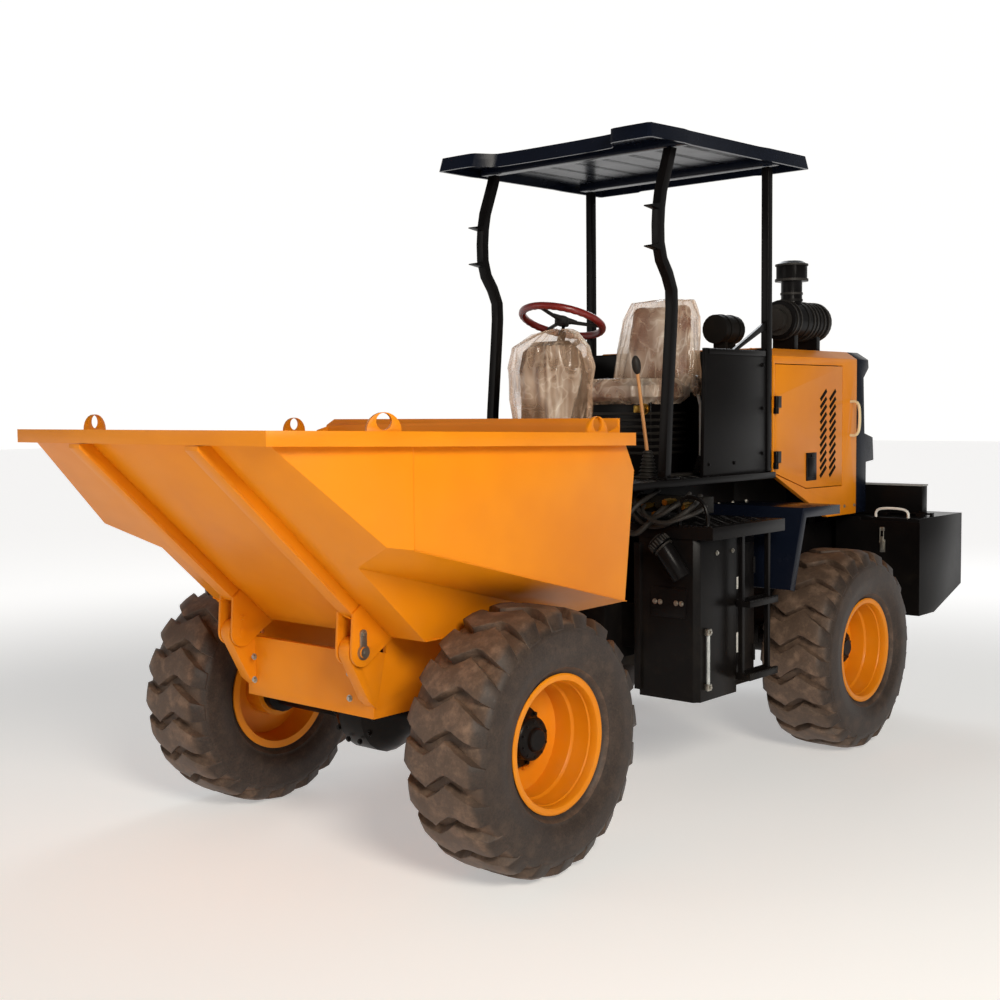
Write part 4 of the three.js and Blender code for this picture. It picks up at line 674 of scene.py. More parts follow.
# ---------------------------------------------------------------------------
# Rear chassis. Two black side plates with cross plates, the counterweight between the
# rear boxes and the towing jaw behind it.
eased("rear_frame", black, 0.003)
weights = bmesh.new()
for x in (-0.34, 0.34):
    for z in (0.62, 0.86, 1.08):
        bolt(weights, (x, 2.5525, z), (0, 1, 0), 0.016)
made("counterweight_bolts", weights, zinc, "rear_chassis")


# ---------------------------------------------------------------------------
# Tanks. Black welded tanks under the platform, with a bolted front plate, a sight
# gauge, a big filler neck with a knurled cap, and a closed locker behind the ladder.
def recolour(piece, finish, inside):
    """Gives a second finish to the faces whose middle passes a test."""
    piece.data.materials.append(finish.material)
    last = len(piece.data.materials) - 1
    for face in piece.data.polygons:
        if inside(face.center):
            face.material_index = last


glass = Finish("gauge_glass", Roughness=0.08, Specular_IOR_Level=0.6)
glass_cloud = glass.grain(18.0, 3.0)
glass.feed(Base_Color=glass.mixed(glass_cloud, colour(205, 208, 206), colour(150, 156, 156)))

for side in ("left", "right"):
    eased(side + "_tank", black, 0.003)
TANK_FACE = -0.1475
trim = bmesh.new()
slab(trim, (0.600, TANK_FACE - 0.006, 0.86), (0.800, TANK_FACE + 0.002, 1.00), 0.002)
both_sides("tank_front_plate", trim, black, "rear_chassis")
bolts = bmesh.new()
for x in (0.625, 0.655, 0.745, 0.775):
    bolt(bolts, (x, TANK_FACE - 0.006, 0.93), (0, -1, 0), 0.009)
for z in (0.533, 0.795):
    slab(bolts, (0.862, -0.092, z - 0.016), (0.884, -0.058, z + 0.016), 0.003)
    bolt(bolts, (0.884, -0.075, z), (1, 0, 0), 0.008)
for y in (0.02, 0.16):
    bolt(bolts, (0.8605, y, 1.16), (1, 0, 0), 0.008)
both_sides("tank_bolts_and_gauge_ends", bolts, zinc, "rear_chassis")
gauge = bmesh.new()
rod(gauge, (0.873, -0.075, 0.540), (0.873, -0.075, 0.788), 0.0085, 16)
both_sides("tank_sight_gauge", gauge, glass, "rear_chassis")
neck = bmesh.new()
neck_from, neck_to = Vector((0.705, -0.2115, 1.203)), Vector((0.677, -0.2175, 1.230))
neck_run = (neck_to - neck_from).normalized()
across = neck_run.orthogonal().normalized()
for i in range(20):
    out = Matrix.Rotation(2 * math.pi * i / 20, 3, neck_run) @ across
    start = neck_from + neck_run * 0.004 + out * 0.0505
    rod(neck, start, start + neck_run * 0.028, 0.0045, 8)
rod(neck, neck_to - neck_run * 0.002, neck_to + neck_run * 0.009, 0.040, 28, 0.034)
rod(neck, neck_from - neck_run * 0.016, neck_from - neck_run * 0.008, 0.0515, 28)
both_sides("filler_cap_grip", neck, hose_rubber, "rear_chassis")
locker = bmesh.new()
slab(locker, (0.799, 0.215, 0.50), (0.806, 0.450, 1.18), 0.003)
for z in (0.62, 1.06):
    rod(locker, (0.806, 0.448, z - 0.04), (0.806, 0.448, z + 0.04), 0.009, 12)
both_sides("locker_door", locker, black, "rear_chassis")
plates = bmesh.new()
slab(plates, (0.8075, 0.250, 0.955), (0.8095, 0.330, 1.015), 0.0006)
slab(plates, (0.8075, 0.250, 0.640), (0.8095, 0.330, 0.740), 0.0006)
white = clouded(
    "blank_plate", 12.0, 5.0, (colour(236, 234, 228), colour(204, 200, 190)), 0.35, 0.2,
    Specular_IOR_Level=0.4,
)
both_sides("blank_plates", plates, white, "rear_chassis")

# ---------------------------------------------------------------------------
# Steps. A chequered shelf at the height of the fenders with a folded edge and a grab
# hoop of bent bar, and under it a ladder of two bars with serrated treads.
step_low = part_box("left_step")[0]
for side in ("left", "right"):
    eased(side + "_step", black, 0.0025)
tread = bmesh.new()
SHELF_Z = 1.296
for row in range(13):
    for column in range(12):
        x = 0.40 + column * 0.045
        y = step_low.y + 0.028 + row * 0.048
        if y < -0.06 and 0.73 < x < 0.93:
            continue
        lean = math.radians(45 if (row + column) % 2 else -45)
        slab(
            tread, (x - 0.014, y - 0.0030, SHELF_Z - 0.001), (x + 0.014, y + 0.0030, SHELF_Z + 0.0022),
            0.0012, Matrix.Rotation(lean, 3, "Z"),
        )
for z in (0.915, 0.560):
    for y in (0.1735 + 0.0135 * i for i in range(20)):
        slab(tread, (0.935, y, z - 0.002), (0.951, y + 0.008, z + 0.007), 0.001)
        slab(tread, (0.872, y, z - 0.002), (0.888, y + 0.008, z + 0.007), 0.001)
for i in range(20):
    x = 0.40 + i * 0.0275
    slab(
        tread, (x, step_low.y - 0.001, SHELF_Z - 0.004),
        (x + 0.016, step_low.y + 0.012, SHELF_Z + 0.006), 0.001,
    )
both_sides("step_treads", tread, black, "rear_chassis")

# Fenders. Folded sheet over the rear tyres: a sloping front strip and a level top,
# with the outer edge turned down.
for side in ("left", "right"):
    eased(side + "_fender", navy, 0.003)
fender = bmesh.new()
for y in (0.74, 0.88, 1.02):
    bolt(fender, (0.42, y, 1.3325 - 0.0004), (0, 0, 1), 0.008)
both_sides("fender_bolts", fender, zinc, "rear_chassis")

# ---------------------------------------------------------------------------
# Platform. A black chequer plate on the side plates of the rear chassis, with the
# steering and tipping hoses hanging in front of it.
eased("platform", black, 0.003)
deck_low, deck_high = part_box("platform")
chequer = bmesh.new()
for row in range(18):
    for column in range(26):
        x = deck_low.x + 0.03 + column * 0.048
        y = deck_low.y + 0.03 + row * 0.048
        under_console = abs(x) < 0.18 and -0.30 < y < 0.02
        under_seat = abs(x) < 0.22 and y > 0.40
        under_levers = 0.35 < x < 0.49 and y > -0.01
        if under_console or under_seat or under_levers or (abs(x) > 0.53 and -0.02 < y < 0.06):
            continue
        lean = math.radians(45 if (row + column) % 2 else -45)
        slab(
            chequer, (x - 0.015, y - 0.0032, deck_high.z - 0.001),
            (x + 0.015, y + 0.0032, deck_high.z + 0.0024), 0.0012, Matrix.Rotation(lean, 3, "Z"),
        )
made("platform_chequer", chequer, black, "rear_chassis")
for i, (x0, x1, z0, dip, width) in enumerate((
    (0.44, 0.86, 1.42, 0.16, 0.013), (0.48, 0.80, 1.43, 0.12, 0.011), (0.40, 0.70, 1.40, 0.18, 0.014),
    (0.55, 0.90, 1.38, 0.08, 0.010), (0.43, 0.62, 1.44, 0.13, 0.012),
)):
    front = -0.17 - 0.016 * i
    hose(f"platform_hose_{i}", [
        (x0 - 0.05, 0.02, z0), (x0, front + 0.05, z0 + 0.01), (x0 + 0.05, front, z0 - dip * 0.5),
        ((x0 + x1) / 2, front - 0.02, z0 - dip), (x1 - 0.06, front, z0 - dip * 0.4),
        (x1 - 0.03, front + 0.07, z0 - 0.02), (x1 - 0.10, 0.03, z0 + 0.005),
    ], width, hose_rubber, "rear_chassis")
unions = bmesh.new()
for x, z in ((0.46, 1.395), (0.54, 1.375), (0.66, 1.400), (0.76, 1.385), (0.60, 1.34)):
    rod(unions, (x, -0.125, z), (x, -0.070, z + 0.004), 0.016, 6)
    rod(unions, (x, -0.075, z + 0.004), (x, -0.020, z + 0.006), 0.011, 14)
made("hose_unions", unions, brass, "rear_chassis")
valve = bmesh.new()
slab(valve, (0.42, -0.035, 1.345), (0.82, 0.060, 1.425), 0.006)
for x in (0.50, 0.58, 0.66, 0.74):
    rod(valve, (x, -0.036, 1.385), (x, -0.060, 1.385), 0.020, 16)
made("hose_manifold", valve, cast, "rear_chassis")

# ---------------------------------------------------------------------------
# Canopy posts. Square black tubes: the front pair cranked forwards and carrying lamp
# tabs, the rear pair straight, all standing on bolted feet.
for node in ("front_left_post", "front_right_post", "rear_left_post", "rear_right_post"):
    eased(node, black, 0.006, 3)
feet = bmesh.new()
slab(feet, (0.510, -0.040, 1.5005), (0.616, 0.075, 1.5095), 0.002)
for x in (0.525, 0.601):
    for y in (-0.026, 0.061):
        bolt(feet, (x, y, 1.5095), (0, 0, 1), 0.007)
both_sides("post_feet", feet, black, "rear_chassis")

# ---------------------------------------------------------------------------
# Canopy roof. One pressed sheet in dark blue: its front corners stand out from a
# set-back front edge, its rim slopes inwards, and ribs stiffen the recess below.
def open_edges(bm):
    return [e for e in bm.edges if len(e.link_faces) == 1]


def drawn_out(bm):
    """The new corners, once the open edge has been extruded."""
    strip = bmesh.ops.extrude_edge_only(bm, edges=open_edges(bm))["geom"]
    return [part for part in strip if isinstance(part, bmesh.types.BMVert)]


roof_low, roof_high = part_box("canopy_roof")
ROOF_FRONT, ROOF_BACK = roof_low.y, roof_high.y

ROOF_SLOPE = 0.018
roof_half = [
    (0.0, 0.128), (0.16, 0.127), (0.30, 0.122), (0.37, 0.114), (0.392, 0.095), (0.440, 0.012),
    (0.465, 0.002), (0.55, 0.0), (0.66, 0.002), (0.674, 0.012), (0.688, 0.270), (0.680, 0.330),
    (0.684, 0.980), (0.694, 1.060), (0.699, 1.440), (0.690, 1.451), (0.42, 1.452), (0.385, 1.425),
    (0.0, 1.425),
]
roof = bmesh.new()
ring_of = [(x, y) for x, y in roof_half] + [(-x, y) for x, y in reversed(roof_half[1:-1])]
corner_verts = [roof.verts.new((x, ROOF_FRONT + y, 0.050)) for x, y in ring_of]
top = roof.faces.new(corner_verts)
bmesh.ops.recalc_face_normals(roof, faces=roof.faces)
if top.normal.z < 0:
    bmesh.ops.reverse_faces(roof, faces=[top])
bmesh.ops.inset_region(roof, faces=[top], thickness=0.010, depth=0.0)
bmesh.ops.inset_region(roof, faces=[top], thickness=0.050, depth=0.016)
bmesh.ops.inset_region(roof, faces=[top], thickness=0.010, depth=0.002)
for v in drawn_out(roof):
    v.co.z = 0.0
for v in corner_verts:
    v.co = v.co.lerp(Vector((0, (ROOF_FRONT + ROOF_BACK) / 2, v.co.z)), 0.018)
for v in drawn_out(roof):
    v.co = v.co.lerp(Vector((0, (ROOF_FRONT + ROOF_BACK) / 2, v.co.z)), 0.022)
for v in drawn_out(roof):
    v.co.z = 0.040
bmesh.ops.edgeloop_fill(roof, edges=open_edges(roof))
bmesh.ops.recalc_face_normals(roof, faces=roof.faces)
bmesh.ops.triangulate(roof, faces=[f for f in roof.faces if len(f.verts) > 4])
for y in (ROOF_FRONT + 0.337, ROOF_FRONT + 1.202):
    slab(roof, (-0.640, y - 0.035, 0.004), (0.640, y + 0.035, 0.050), 0.004)
for i in range(7):
    x = -0.51 + i * 0.17
    slab(
        roof, (x - 0.028, ROOF_FRONT + 0.385, 0.040),
        (x + 0.028, ROOF_FRONT + 1.155, 0.052), 0.006,
    )
for v in roof.verts:
    v.co.z += roof_low.z + 0.001 + ROOF_SLOPE * (v.co.y - ROOF_FRONT)
canopy = made("pressed_roof", roof, navy, "rear_chassis", 32)
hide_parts("canopy_roof")

# ---------------------------------------------------------------------------
# Bulkhead. Black panels beside and behind the seat, bolted at their edges, with a
# diagonal brace from each side panel up to the rear post.
eased("bulkhead", black, 0.003)
panel = bmesh.new()
for z in (1.60, 1.84, 2.07):
    bolt(panel, (0.6005, 0.885, z), (1, 0, 0), 0.008)
for y in (0.36, 0.60):
    bolt(panel, (0.6005, y, 1.56), (1, 0, 0), 0.008)
slab(panel, (0.599, 0.355, 2.115), (0.606, 0.905, 2.143), 0.002)
both_sides("panel_trim", panel, black, "rear_chassis")

# ---------------------------------------------------------------------------
# Seat. A black suspension box with bellows carries a dark red-brown vinyl cushion and
# back, both stuffed and crowned.
vinyl = clouded(
    "seat_vinyl", 6.0, 5.0, ((0.150, 0.030, 0.026, 1), (0.060, 0.013, 0.012, 1)), 0.40, 0.18,
    Specular_IOR_Level=0.35,
)
vinyl_pores = vinyl.node("TexVoronoi", Vector=vinyl.place, Scale=420.0)
vinyl.bumped(vinyl_pores, 0.25, 0.0006)

eased("seat_base", black, 0.006)
base_low, base_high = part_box("seat_base")
bellows = bmesh.new()
for i in range(7):
    z = base_low.z + 0.10 + i * 0.035
    slab(
        bellows, (base_low.x - 0.006, base_low.y - 0.006, z),
        (base_high.x + 0.006, base_high.y + 0.006, z + 0.016), 0.005,
    )
made("seat_bellows", bellows, hose_rubber, "rear_chassis")


def settled(piece):
    """The mesh of a piece with its modifiers applied, at the present frame."""
    return bpy.data.meshes.new_from_object(piece.evaluated_get(bpy.context.evaluated_depsgraph_get()))


def stuffed(name, node, shape, finish, cap):
    """The shape blown up by cloth pressure, then smoothed, in the place of a CAD solid."""
    mesh = bpy.data.meshes.new(name)
    shape.to_mesh(mesh)
    shape.free()
    pad = bpy.data.objects.new(name, mesh)
    bpy.context.scene.collection.objects.link(pad)
    bpy.context.view_layer.objects.active = pad
    remesh = pad.modifiers.new("voxels", "REMESH")
    remesh.mode = "VOXEL"
    remesh.voxel_size = 0.006
    mesh = settled(pad)
    pad.modifiers.clear()
    pad.data = mesh
    start = [v.co.copy() for v in mesh.vertices]
    cloth = pad.modifiers.new("cloth", "CLOTH")
    cloth.settings.quality = 4
    cloth.settings.use_pressure = True
    cloth.settings.uniform_pressure_force = 4.0
    cloth.settings.effector_weights.gravity = 0.0
    cloth.settings.tension_stiffness = 12
    cloth.settings.compression_stiffness = 12
    cloth.settings.bending_stiffness = 0.5
    cloth.collision_settings.use_collision = False
    cloth.point_cache.frame_start = 1
    cloth.point_cache.frame_end = 20
    for step in range(1, 21):
        bpy.context.scene.frame_set(step)
    blown = settled(pad)
    pad.modifiers.clear()
    pad.data = blown
    for v, before in zip(blown.vertices, start):
        move = v.co - before
        if move.length > cap:
            v.co = before + move * (cap / move.length)
    bpy.context.scene.frame_set(1)
    final = bmesh.new()
    final.from_mesh(pad.data)
    bpy.data.objects.remove(pad)
    bmesh.ops.smooth_vert(
        final, verts=final.verts, factor=0.5, use_axis_x=True, use_axis_y=True, use_axis_z=True,
    )
    bmesh.ops.recalc_face_normals(final, faces=final.faces)
    piece = made(name, final, finish, BODY_OF[node], 180)
    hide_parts(node)
    return piece


def pad_shape(low, high, cut, lean=0.0, crown=0.0):
    """A block with rounded corners and pulled-in sides, leaning back as it rises."""
    bm = bmesh.new()
    low, high = Vector(low), Vector(high)
    size = high - low
    place = Matrix.Translation((low + high) / 2) @ Matrix.Diagonal((*size, 1))
    bmesh.ops.create_cube(bm, size=1.0, matrix=place)
    bmesh.ops.bevel(
        bm, geom=list(bm.edges), offset=cut, segments=4, profile=0.5,
        affect="EDGES", material=-1, clamp_overlap=True,
    )
    longest = [e for e in bm.edges if e.calc_length() > 0.06]
    bmesh.ops.subdivide_edges(bm, edges=longest, cuts=6, use_grid_fill=True)
    for v in bm.verts:
        share = (v.co.z - low.z) / size.z
        v.co.y += lean * share
        v.co.x *= 1.0 - crown * max(0.0, share - 0.55) ** 2
    return bm


cushion_low, cushion_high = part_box("seat_cushion")
stuffed("stuffed_cushion", "seat_cushion", pad_shape(
    cushion_low + Vector((0.010, 0.010, 0.002)), cushion_high - Vector((0.010, 0.010, 0.012)), 0.030,
), vinyl, 0.014)
back_low, back_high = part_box("seat_backrest")
stuffed("stuffed_backrest", "seat_backrest", pad_shape(
    (back_low.x + 0.012, back_low.y + 0.012, back_low.z + 0.006),
    (back_high.x - 0.012, back_low.y + 0.090, back_high.z - 0.012), 0.034, 0.062, 0.75,
), vinyl, 0.014)

# Film. Thin clear film that is still wrapped round the seat's back and cushion from
# delivery: loose, creased, and gathered where it is tied.
film = Finish("wrapping_film", Specular_IOR_Level=0.75)
film_fold = film.grain(7.0, 2.0, 0.45, stretch=(1.0, 1.0, 0.40))
film_pull = film.grain(12.0, 2.0, 0.45, stretch=(0.55, 1.0, 0.75))
film_highlight_cloud = film.grain(4.0, 2.0, 0.4)
# Thin crease lines and broad cloudy patches turn the film from a warm tint to near white and make it more
# opaque. These are painted highlights along the creases and painted sheen in the patches. The creases also
# shape the bump.
film_crease_glint = (
    1.0 - film.node("Math", {"operation": "ABSOLUTE"}, s0=film_fold - 0.5).between(0.0, 0.035)
) * 0.6 + (
    1.0 - film.node("Math", {"operation": "ABSOLUTE"}, s0=film_pull - 0.52).between(0.0, 0.030)
) * 0.4
film_painted_highlight = (film_crease_glint * 0.45 + film_highlight_cloud.between(0.35, 0.68) * 0.65).kept()
# Colour and opacity both follow the painted highlights and sheen.
film.feed(
    Base_Color=film.mixed(film_painted_highlight, colour(238, 190, 150), colour(255, 242, 224)),
    Roughness=(0.10 + film_fold * 0.14).kept(),
    Alpha=(0.20 + film_painted_highlight * 0.58).kept(),
)
film.bumped(film_fold * 0.9 + film_pull * 0.5 + film_crease_glint * 0.12, 0.9, 0.012)


def layer(levels, share):
    """The centre, half width, half depth and squareness of a bag at a share of its height."""
    at = share * (len(levels) - 1)
    first = min(int(at), len(levels) - 2)
    rest = at - first
    rest = rest * rest * (3 - 2 * rest)
    return [a + (b - a) * rest for a, b in zip(levels[first], levels[first + 1])]


def bag(name, levels, pleats, depth, body, around, up=64):
    """A sack of film: rings round a centre line that rises, pinched by standing folds."""
    bm = bmesh.new()
    bmesh.ops.create_grid(bm, x_segments=around, y_segments=up, size=1.0)
    for v in bm.verts:
        swing = math.pi * v.co.x
        share = (v.co.y + 1) / 2
        x, y, z, half_x, half_y, square = layer(levels, share)
        power = 2.0 / square
        c, s = math.cos(swing), math.sin(swing)
        px = half_x * math.copysign(abs(c) ** power, c)
        py = half_y * math.copysign(abs(s) ** power, s)
        seed = Vector((math.cos(swing) * pleats * 0.16, math.sin(swing) * pleats * 0.16, share * 2.2))
        fold = abs(noise.noise(seed)) * 2 - 0.35
        fine = noise.noise(seed * 2.7 + Vector((5, 3, 1)))
        out = Vector((px, py, 0))
        reach = out.length
        wide = depth * min(1.0, reach / 0.05)
        out = out.normalized() * (reach + wide * (fold + 0.35 * fine)) if reach > 1e-5 else out
        v.co = Vector((x, y, z + 0.25 * wide * fine)) + out
    bmesh.ops.remove_doubles(bm, verts=bm.verts, dist=2e-5)
    bmesh.ops.recalc_face_normals(bm, faces=bm.faces)
    return made(name, bm, film, body, 180)


seat_mid = (back_low.y + 0.012 + back_low.y + 0.090) / 2
back_film = bag("seat_back_film", [
    (0, seat_mid - 0.010, 1.930, 0.225, 0.110, 3.2), (0, seat_mid + 0.002, 2.010, 0.262, 0.088, 3.4),
    (0, seat_mid + 0.022, 2.180, 0.250, 0.078, 3.6), (0, seat_mid + 0.045, 2.340, 0.232, 0.074, 3.4),
    (0, seat_mid + 0.060, 2.432, 0.190, 0.062, 3.0), (0, seat_mid + 0.062, 2.447, 0.006, 0.004, 2.0),
], 30, 0.020, "rear_chassis", 150)
cushion_mid = (cushion_low.y + cushion_high.y) / 2
cushion_film = bag("seat_cushion_film", [
    (0, cushion_mid - 0.005, 1.868, 0.222, 0.176, 3.6), (0, cushion_mid - 0.012, 1.905, 0.252, 0.205, 4.0),
    (0, cushion_mid - 0.010, 1.965, 0.250, 0.205, 4.0), (0, cushion_mid - 0.004, 2.004, 0.215, 0.172, 3.2),
    (0, cushion_mid, 2.010, 0.006, 0.006, 2.0),
], 46, 0.016, "rear_chassis", 150, 40)

latch = bmesh.new()
rod(latch, (0.165, base_low.y - 0.012, 1.842), (0.165, base_low.y + 0.030, 1.842), 0.030, 24)
rod(latch, (0.165, base_low.y - 0.030, 1.842), (0.165, base_low.y - 0.010, 1.842), 0.019, 18, 0.023)
slab(latch, (0.10, base_low.y - 0.018, 1.822), (0.14, base_low.y + 0.004, 1.862), 0.004)
made("seat_front_fitting", latch, brass, "rear_chassis")

# ---------------------------------------------------------------------------
# Dashboard. A black column housing in front of the operator, wrapped in one sheet of
# clear film that peaks at the steering wheel's hub and is tied round its waist.
console = eased("dash_console", black, 0.010, 3)
console_low, console_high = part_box("dash_console")
for v in console.data.vertices:
    if v.co.z > 1.52:
        v.co.x *= 0.70
        v.co.y = console_high.y - (console_high.y - v.co.y) * 0.86
        v.co.z = 1.52 + (v.co.z - 1.52) * 0.96
dash_y = (console_low.y + console_high.y) / 2
dash_film = bag("dash_film", [
    (0, dash_y + 0.002, 1.640, 0.176, 0.140, 3.0), (0, dash_y + 0.002, 1.760, 0.170, 0.142, 2.8),
    (0, dash_y + 0.002, 1.900, 0.196, 0.172, 2.5), (0, dash_y + 0.002, 2.050, 0.216, 0.186, 2.3),
    (0, dash_y - 0.004, 2.155, 0.190, 0.156, 2.2), (0, -0.112, 2.222, 0.112, 0.092, 2.1),
    (0, -0.092, 2.248, 0.034, 0.034, 2.0),
], 22, 0.028, "rear_chassis", 170, 84)
dials = bmesh.new()
for x in (-0.085, 0.0, 0.085):
    rod(dials, (x, -0.010, 2.010), (x, 0.004, 2.012), 0.030, 28)
slab(dials, (-0.120, -0.006, 1.880), (0.120, 0.003, 1.945), 0.004)
made("dash_dials", dials, hose_rubber, "rear_chassis")

# ---------------------------------------------------------------------------
# Steering wheel. A thick moulded dark red rim on three black spokes with a domed
# boss.
wheel_low, wheel_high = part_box("steering_wheel")
hub_at = Vector((0, (wheel_low.y + wheel_high.y) / 2, (wheel_low.z + wheel_high.z) / 2))
lean = Matrix.Rotation(math.radians(-19), 4, "X")
RING, GRIP = 0.206, 0.0185
grip = bmesh.new()
bmesh.ops.create_circle(
    grip, segments=14, radius=GRIP,
    matrix=Matrix.Translation((RING, 0, 0)) @ Matrix.Rotation(math.pi / 2, 4, "X"),
)
bmesh.ops.spin(
    grip, geom=list(grip.verts) + list(grip.edges), cent=(0, 0, 0), axis=(0, 0, 1),
    angle=2 * math.pi, steps=72, use_merge=True,
)
bmesh.ops.remove_doubles(grip, verts=grip.verts, dist=1e-5)
bmesh.ops.recalc_face_normals(grip, faces=grip.faces)
for v in grip.verts:
    swing = math.atan2(v.co.y, v.co.x)
    v.co.z += 0.0012 * math.cos(swing * 36) * (1 if v.co.z < 0 else 0)
bmesh.ops.transform(grip, verts=grip.verts, matrix=Matrix.Translation(hub_at) @ lean)
red = clouded(
    "steering_rim_red", 14.0, 4.0, ((0.22, 0.016, 0.010, 1), (0.13, 0.010, 0.008, 1)), 0.22, 0.2,
    Specular_IOR_Level=0.5, Coat_Roughness=0.1,
)
rim_piece = made("steering_rim", grip, red, "steering_wheel", 60)
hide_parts("steering_wheel")
spokes = bmesh.new()
for angle in (60, 180, 300):
    turned = Matrix.Rotation(math.radians(angle), 4, "Z")
    bar_from = turned @ Vector((0, 0.030, 0.0))
    bar_to = turned @ Vector((0, RING - 0.006, 0.001))
    rod(spokes, bar_from, bar_to, 0.0105, 12, 0.0085)
    root = bar_from + Vector((0, 0, 0.004))
    rod(spokes, root, turned @ Vector((0, 0.075, 0.004)), 0.018, 12, 0.009)
rod(spokes, (0, 0, -0.019), (0, 0, 0.006), 0.036, 32, 0.040)
rod(spokes, (0, 0, 0.006), (0, 0, 0.018), 0.040, 32, 0.033)
rod(spokes, (0, 0, 0.018), (0, 0, 0.024), 0.033, 32, 0.020)
bmesh.ops.transform(spokes, verts=spokes.verts, matrix=Matrix.Translation(hub_at) @ lean)
made("steering_spokes", spokes, hose_rubber, "steering_wheel", 40)

# ---------------------------------------------------------------------------
# Gear levers. Rubber bellows on a common plate; a tan rod with a black knob in front,
# and a white cranked rod behind whose knob is still wrapped.
lever_low, lever_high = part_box("control_levers")
lever_x = (lever_low.x + lever_high.x) / 2
FLOOR_Z = 1.5003
FRONT_LEVER_Y, REAR_LEVER_Y = 0.0845, 0.5625


def bellow(bm, y, foot, neck, height, rings):
    """A ringed rubber boot, turned round an upright line."""
    outline = [(0.0, 0.010)]
    for i in range(rings):
        low, wide = i / rings, foot + (neck - foot) * i / rings
        outline += [
            (wide * share, 0.010 + height * (low + up / rings))
            for share, up in ((0.80, 0.0), (1.0, 0.3), (1.0, 0.5), (0.80, 0.8))
        ]
    outline += [(neck * 0.8, 0.010 + height), (0.0, 0.012 + height)]
    spun(
        bm, [(lever_x + r, y, FLOOR_Z + z) for r, z in outline], (0, 0, 1), 28,
        closed=False, centre=(lever_x, y, 0),
    )


boots = bmesh.new()
bellow(boots, FRONT_LEVER_Y, 0.050, 0.022, 0.128, 7)
bellow(boots, REAR_LEVER_Y, 0.042, 0.014, 0.086, 6)
slab(boots, (lever_x - 0.052, 0.0275, FLOOR_Z), (lever_x + 0.052, 0.6175, FLOOR_Z + 0.0117), 0.003)
boots_piece = made("lever_boots", boots, hose_rubber, "rear_chassis", 50)
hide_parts("control_levers")
tan = painted("tan_rod", colour(206, 150, 96), colour(178, 120, 70), 0.34, 0.1, 0.4)
tan_rod = bmesh.new()
rod(tan_rod, (lever_x, FRONT_LEVER_Y, 1.600), (lever_x, -0.0065, 2.040), 0.0095, 16, 0.0085)
made("front_lever_rod", tan_rod, tan, "rear_chassis", 60)
pale_rod = bmesh.new()
rod(pale_rod, (lever_x, REAR_LEVER_Y, 1.580), (lever_x, REAR_LEVER_Y, 1.862), 0.0085, 16)
rod(pale_rod, (lever_x, REAR_LEVER_Y, 1.858), (lever_x, 0.5290, 1.935), 0.0085, 16)
made("rear_lever_rod", pale_rod, white, "rear_chassis", 60)
knobs = bmesh.new()
for start, end, wide in (
    ((-0.001, 2.012), (-0.0225, 2.104), 0.0225), ((0.533, 1.915), (0.5155, 2.012), 0.0205),
):
    aim = Vector((0, end[0] - start[0], end[1] - start[1]))
    spread = Matrix.Translation((lever_x, (start[0] + end[0]) / 2, (start[1] + end[1]) / 2))
    spread = spread @ aim.to_track_quat("Z", "Y").to_matrix().to_4x4()
    bmesh.ops.create_uvsphere(
        knobs, u_segments=24, v_segments=16, radius=1.0,
        matrix=spread @ Matrix.Diagonal((wide, wide, aim.length / 2, 1)),
    )
made("lever_knobs", knobs, hose_rubber, "rear_chassis", 60)
knob_film = bag("lever_knob_film", [
    (lever_x, 0.536, 1.905, 0.014, 0.014, 2.0), (lever_x, 0.530, 1.930, 0.026, 0.026, 2.2),
    (lever_x, 0.522, 1.975, 0.029, 0.029, 2.2), (lever_x, 0.514, 2.010, 0.023, 0.023, 2.2),
    (lever_x, 0.512, 2.020, 0.001, 0.001, 2.0),
], 30, 0.004, "rear_chassis", 60, 40)

# ---------------------------------------------------------------------------
# Engine housing. Orange folded sheet with a chamfered top, a cranked lower edge, and
# a wide door on each side with slanting vent slots, a paddle latch and black hinges.
shell = eased("hood_shell", orange, 0.005, 3)
for side in ("left", "right"):
    door = eased(side + "_engine_door", orange, 0.004)
    recolour(door, black, lambda c: abs(c.x) > 0.6035)
recolour(shell, black, lambda c: abs(c.x) > 0.6035 and c.y < 1.05)
recolour(shell, cream, lambda c: abs(c.x) > 0.6025 and c.y > 1.80)
SIDE_X = 0.600
# The vent slots are not cut through the doors. Thin slanted near-black plates lie on each door in their
# place: painted shade standing in for the dark inside of the open slots.
vents = bmesh.new()
for column in range(2):
    for row in range(11):
        y = 1.5165 + column * 0.110 + 0.043
        z = 1.475 + row * 0.0435
        slab(
            vents, (SIDE_X - 0.003, y - 0.046, z - 0.0115), (SIDE_X + 0.0008, y + 0.046, z + 0.0115),
            0.0007, Matrix.Rotation(math.radians(38), 3, "X"),
        )
# Near-black finish of the slot plates: painted shade, not a paint the doors have.
dark = clouded(
    "vent_slot_painted_shade", 20.0, 3.0, ((0.003, 0.0025, 0.002, 1), (0.008, 0.006, 0.005, 1)), 0.7, 0.2,
    Specular_IOR_Level=0.1,
)
for side, sign in (("left", 1), ("right", -1)):
    shade_plates = vents.copy() if sign > 0 else flipped(vents)
    made(side + "_vent_slot_shade", shade_plates, dark, side + "_engine_door")
vents.free()
paddle = bmesh.new()
slab(paddle, (SIDE_X - 0.002, 1.3585, 1.431), (SIDE_X + 0.005, 1.4755, 1.588), 0.003)
slab(paddle, (SIDE_X + 0.003, 1.380, 1.452), (SIDE_X + 0.009, 1.454, 1.560), 0.004)
rod(paddle, (SIDE_X + 0.004, 1.417, 1.572), (SIDE_X + 0.010, 1.417, 1.572), 0.008, 18)
made("right_door_latch", flipped(paddle), black, "right_engine_door")
made("left_door_latch", paddle, black, "left_engine_door")
strip = bmesh.new()
for y in (1.820, 1.945):
    bolt(strip, (SIDE_X, y, 1.262), (1, 0, 0), 0.007)
for y in (1.10, 1.45, 1.85):
    bolt(strip, (0.40, y, 2.165), (0, 0, 1), 0.007)
both_sides("hood_bolts", strip, zinc, "rear_chassis")

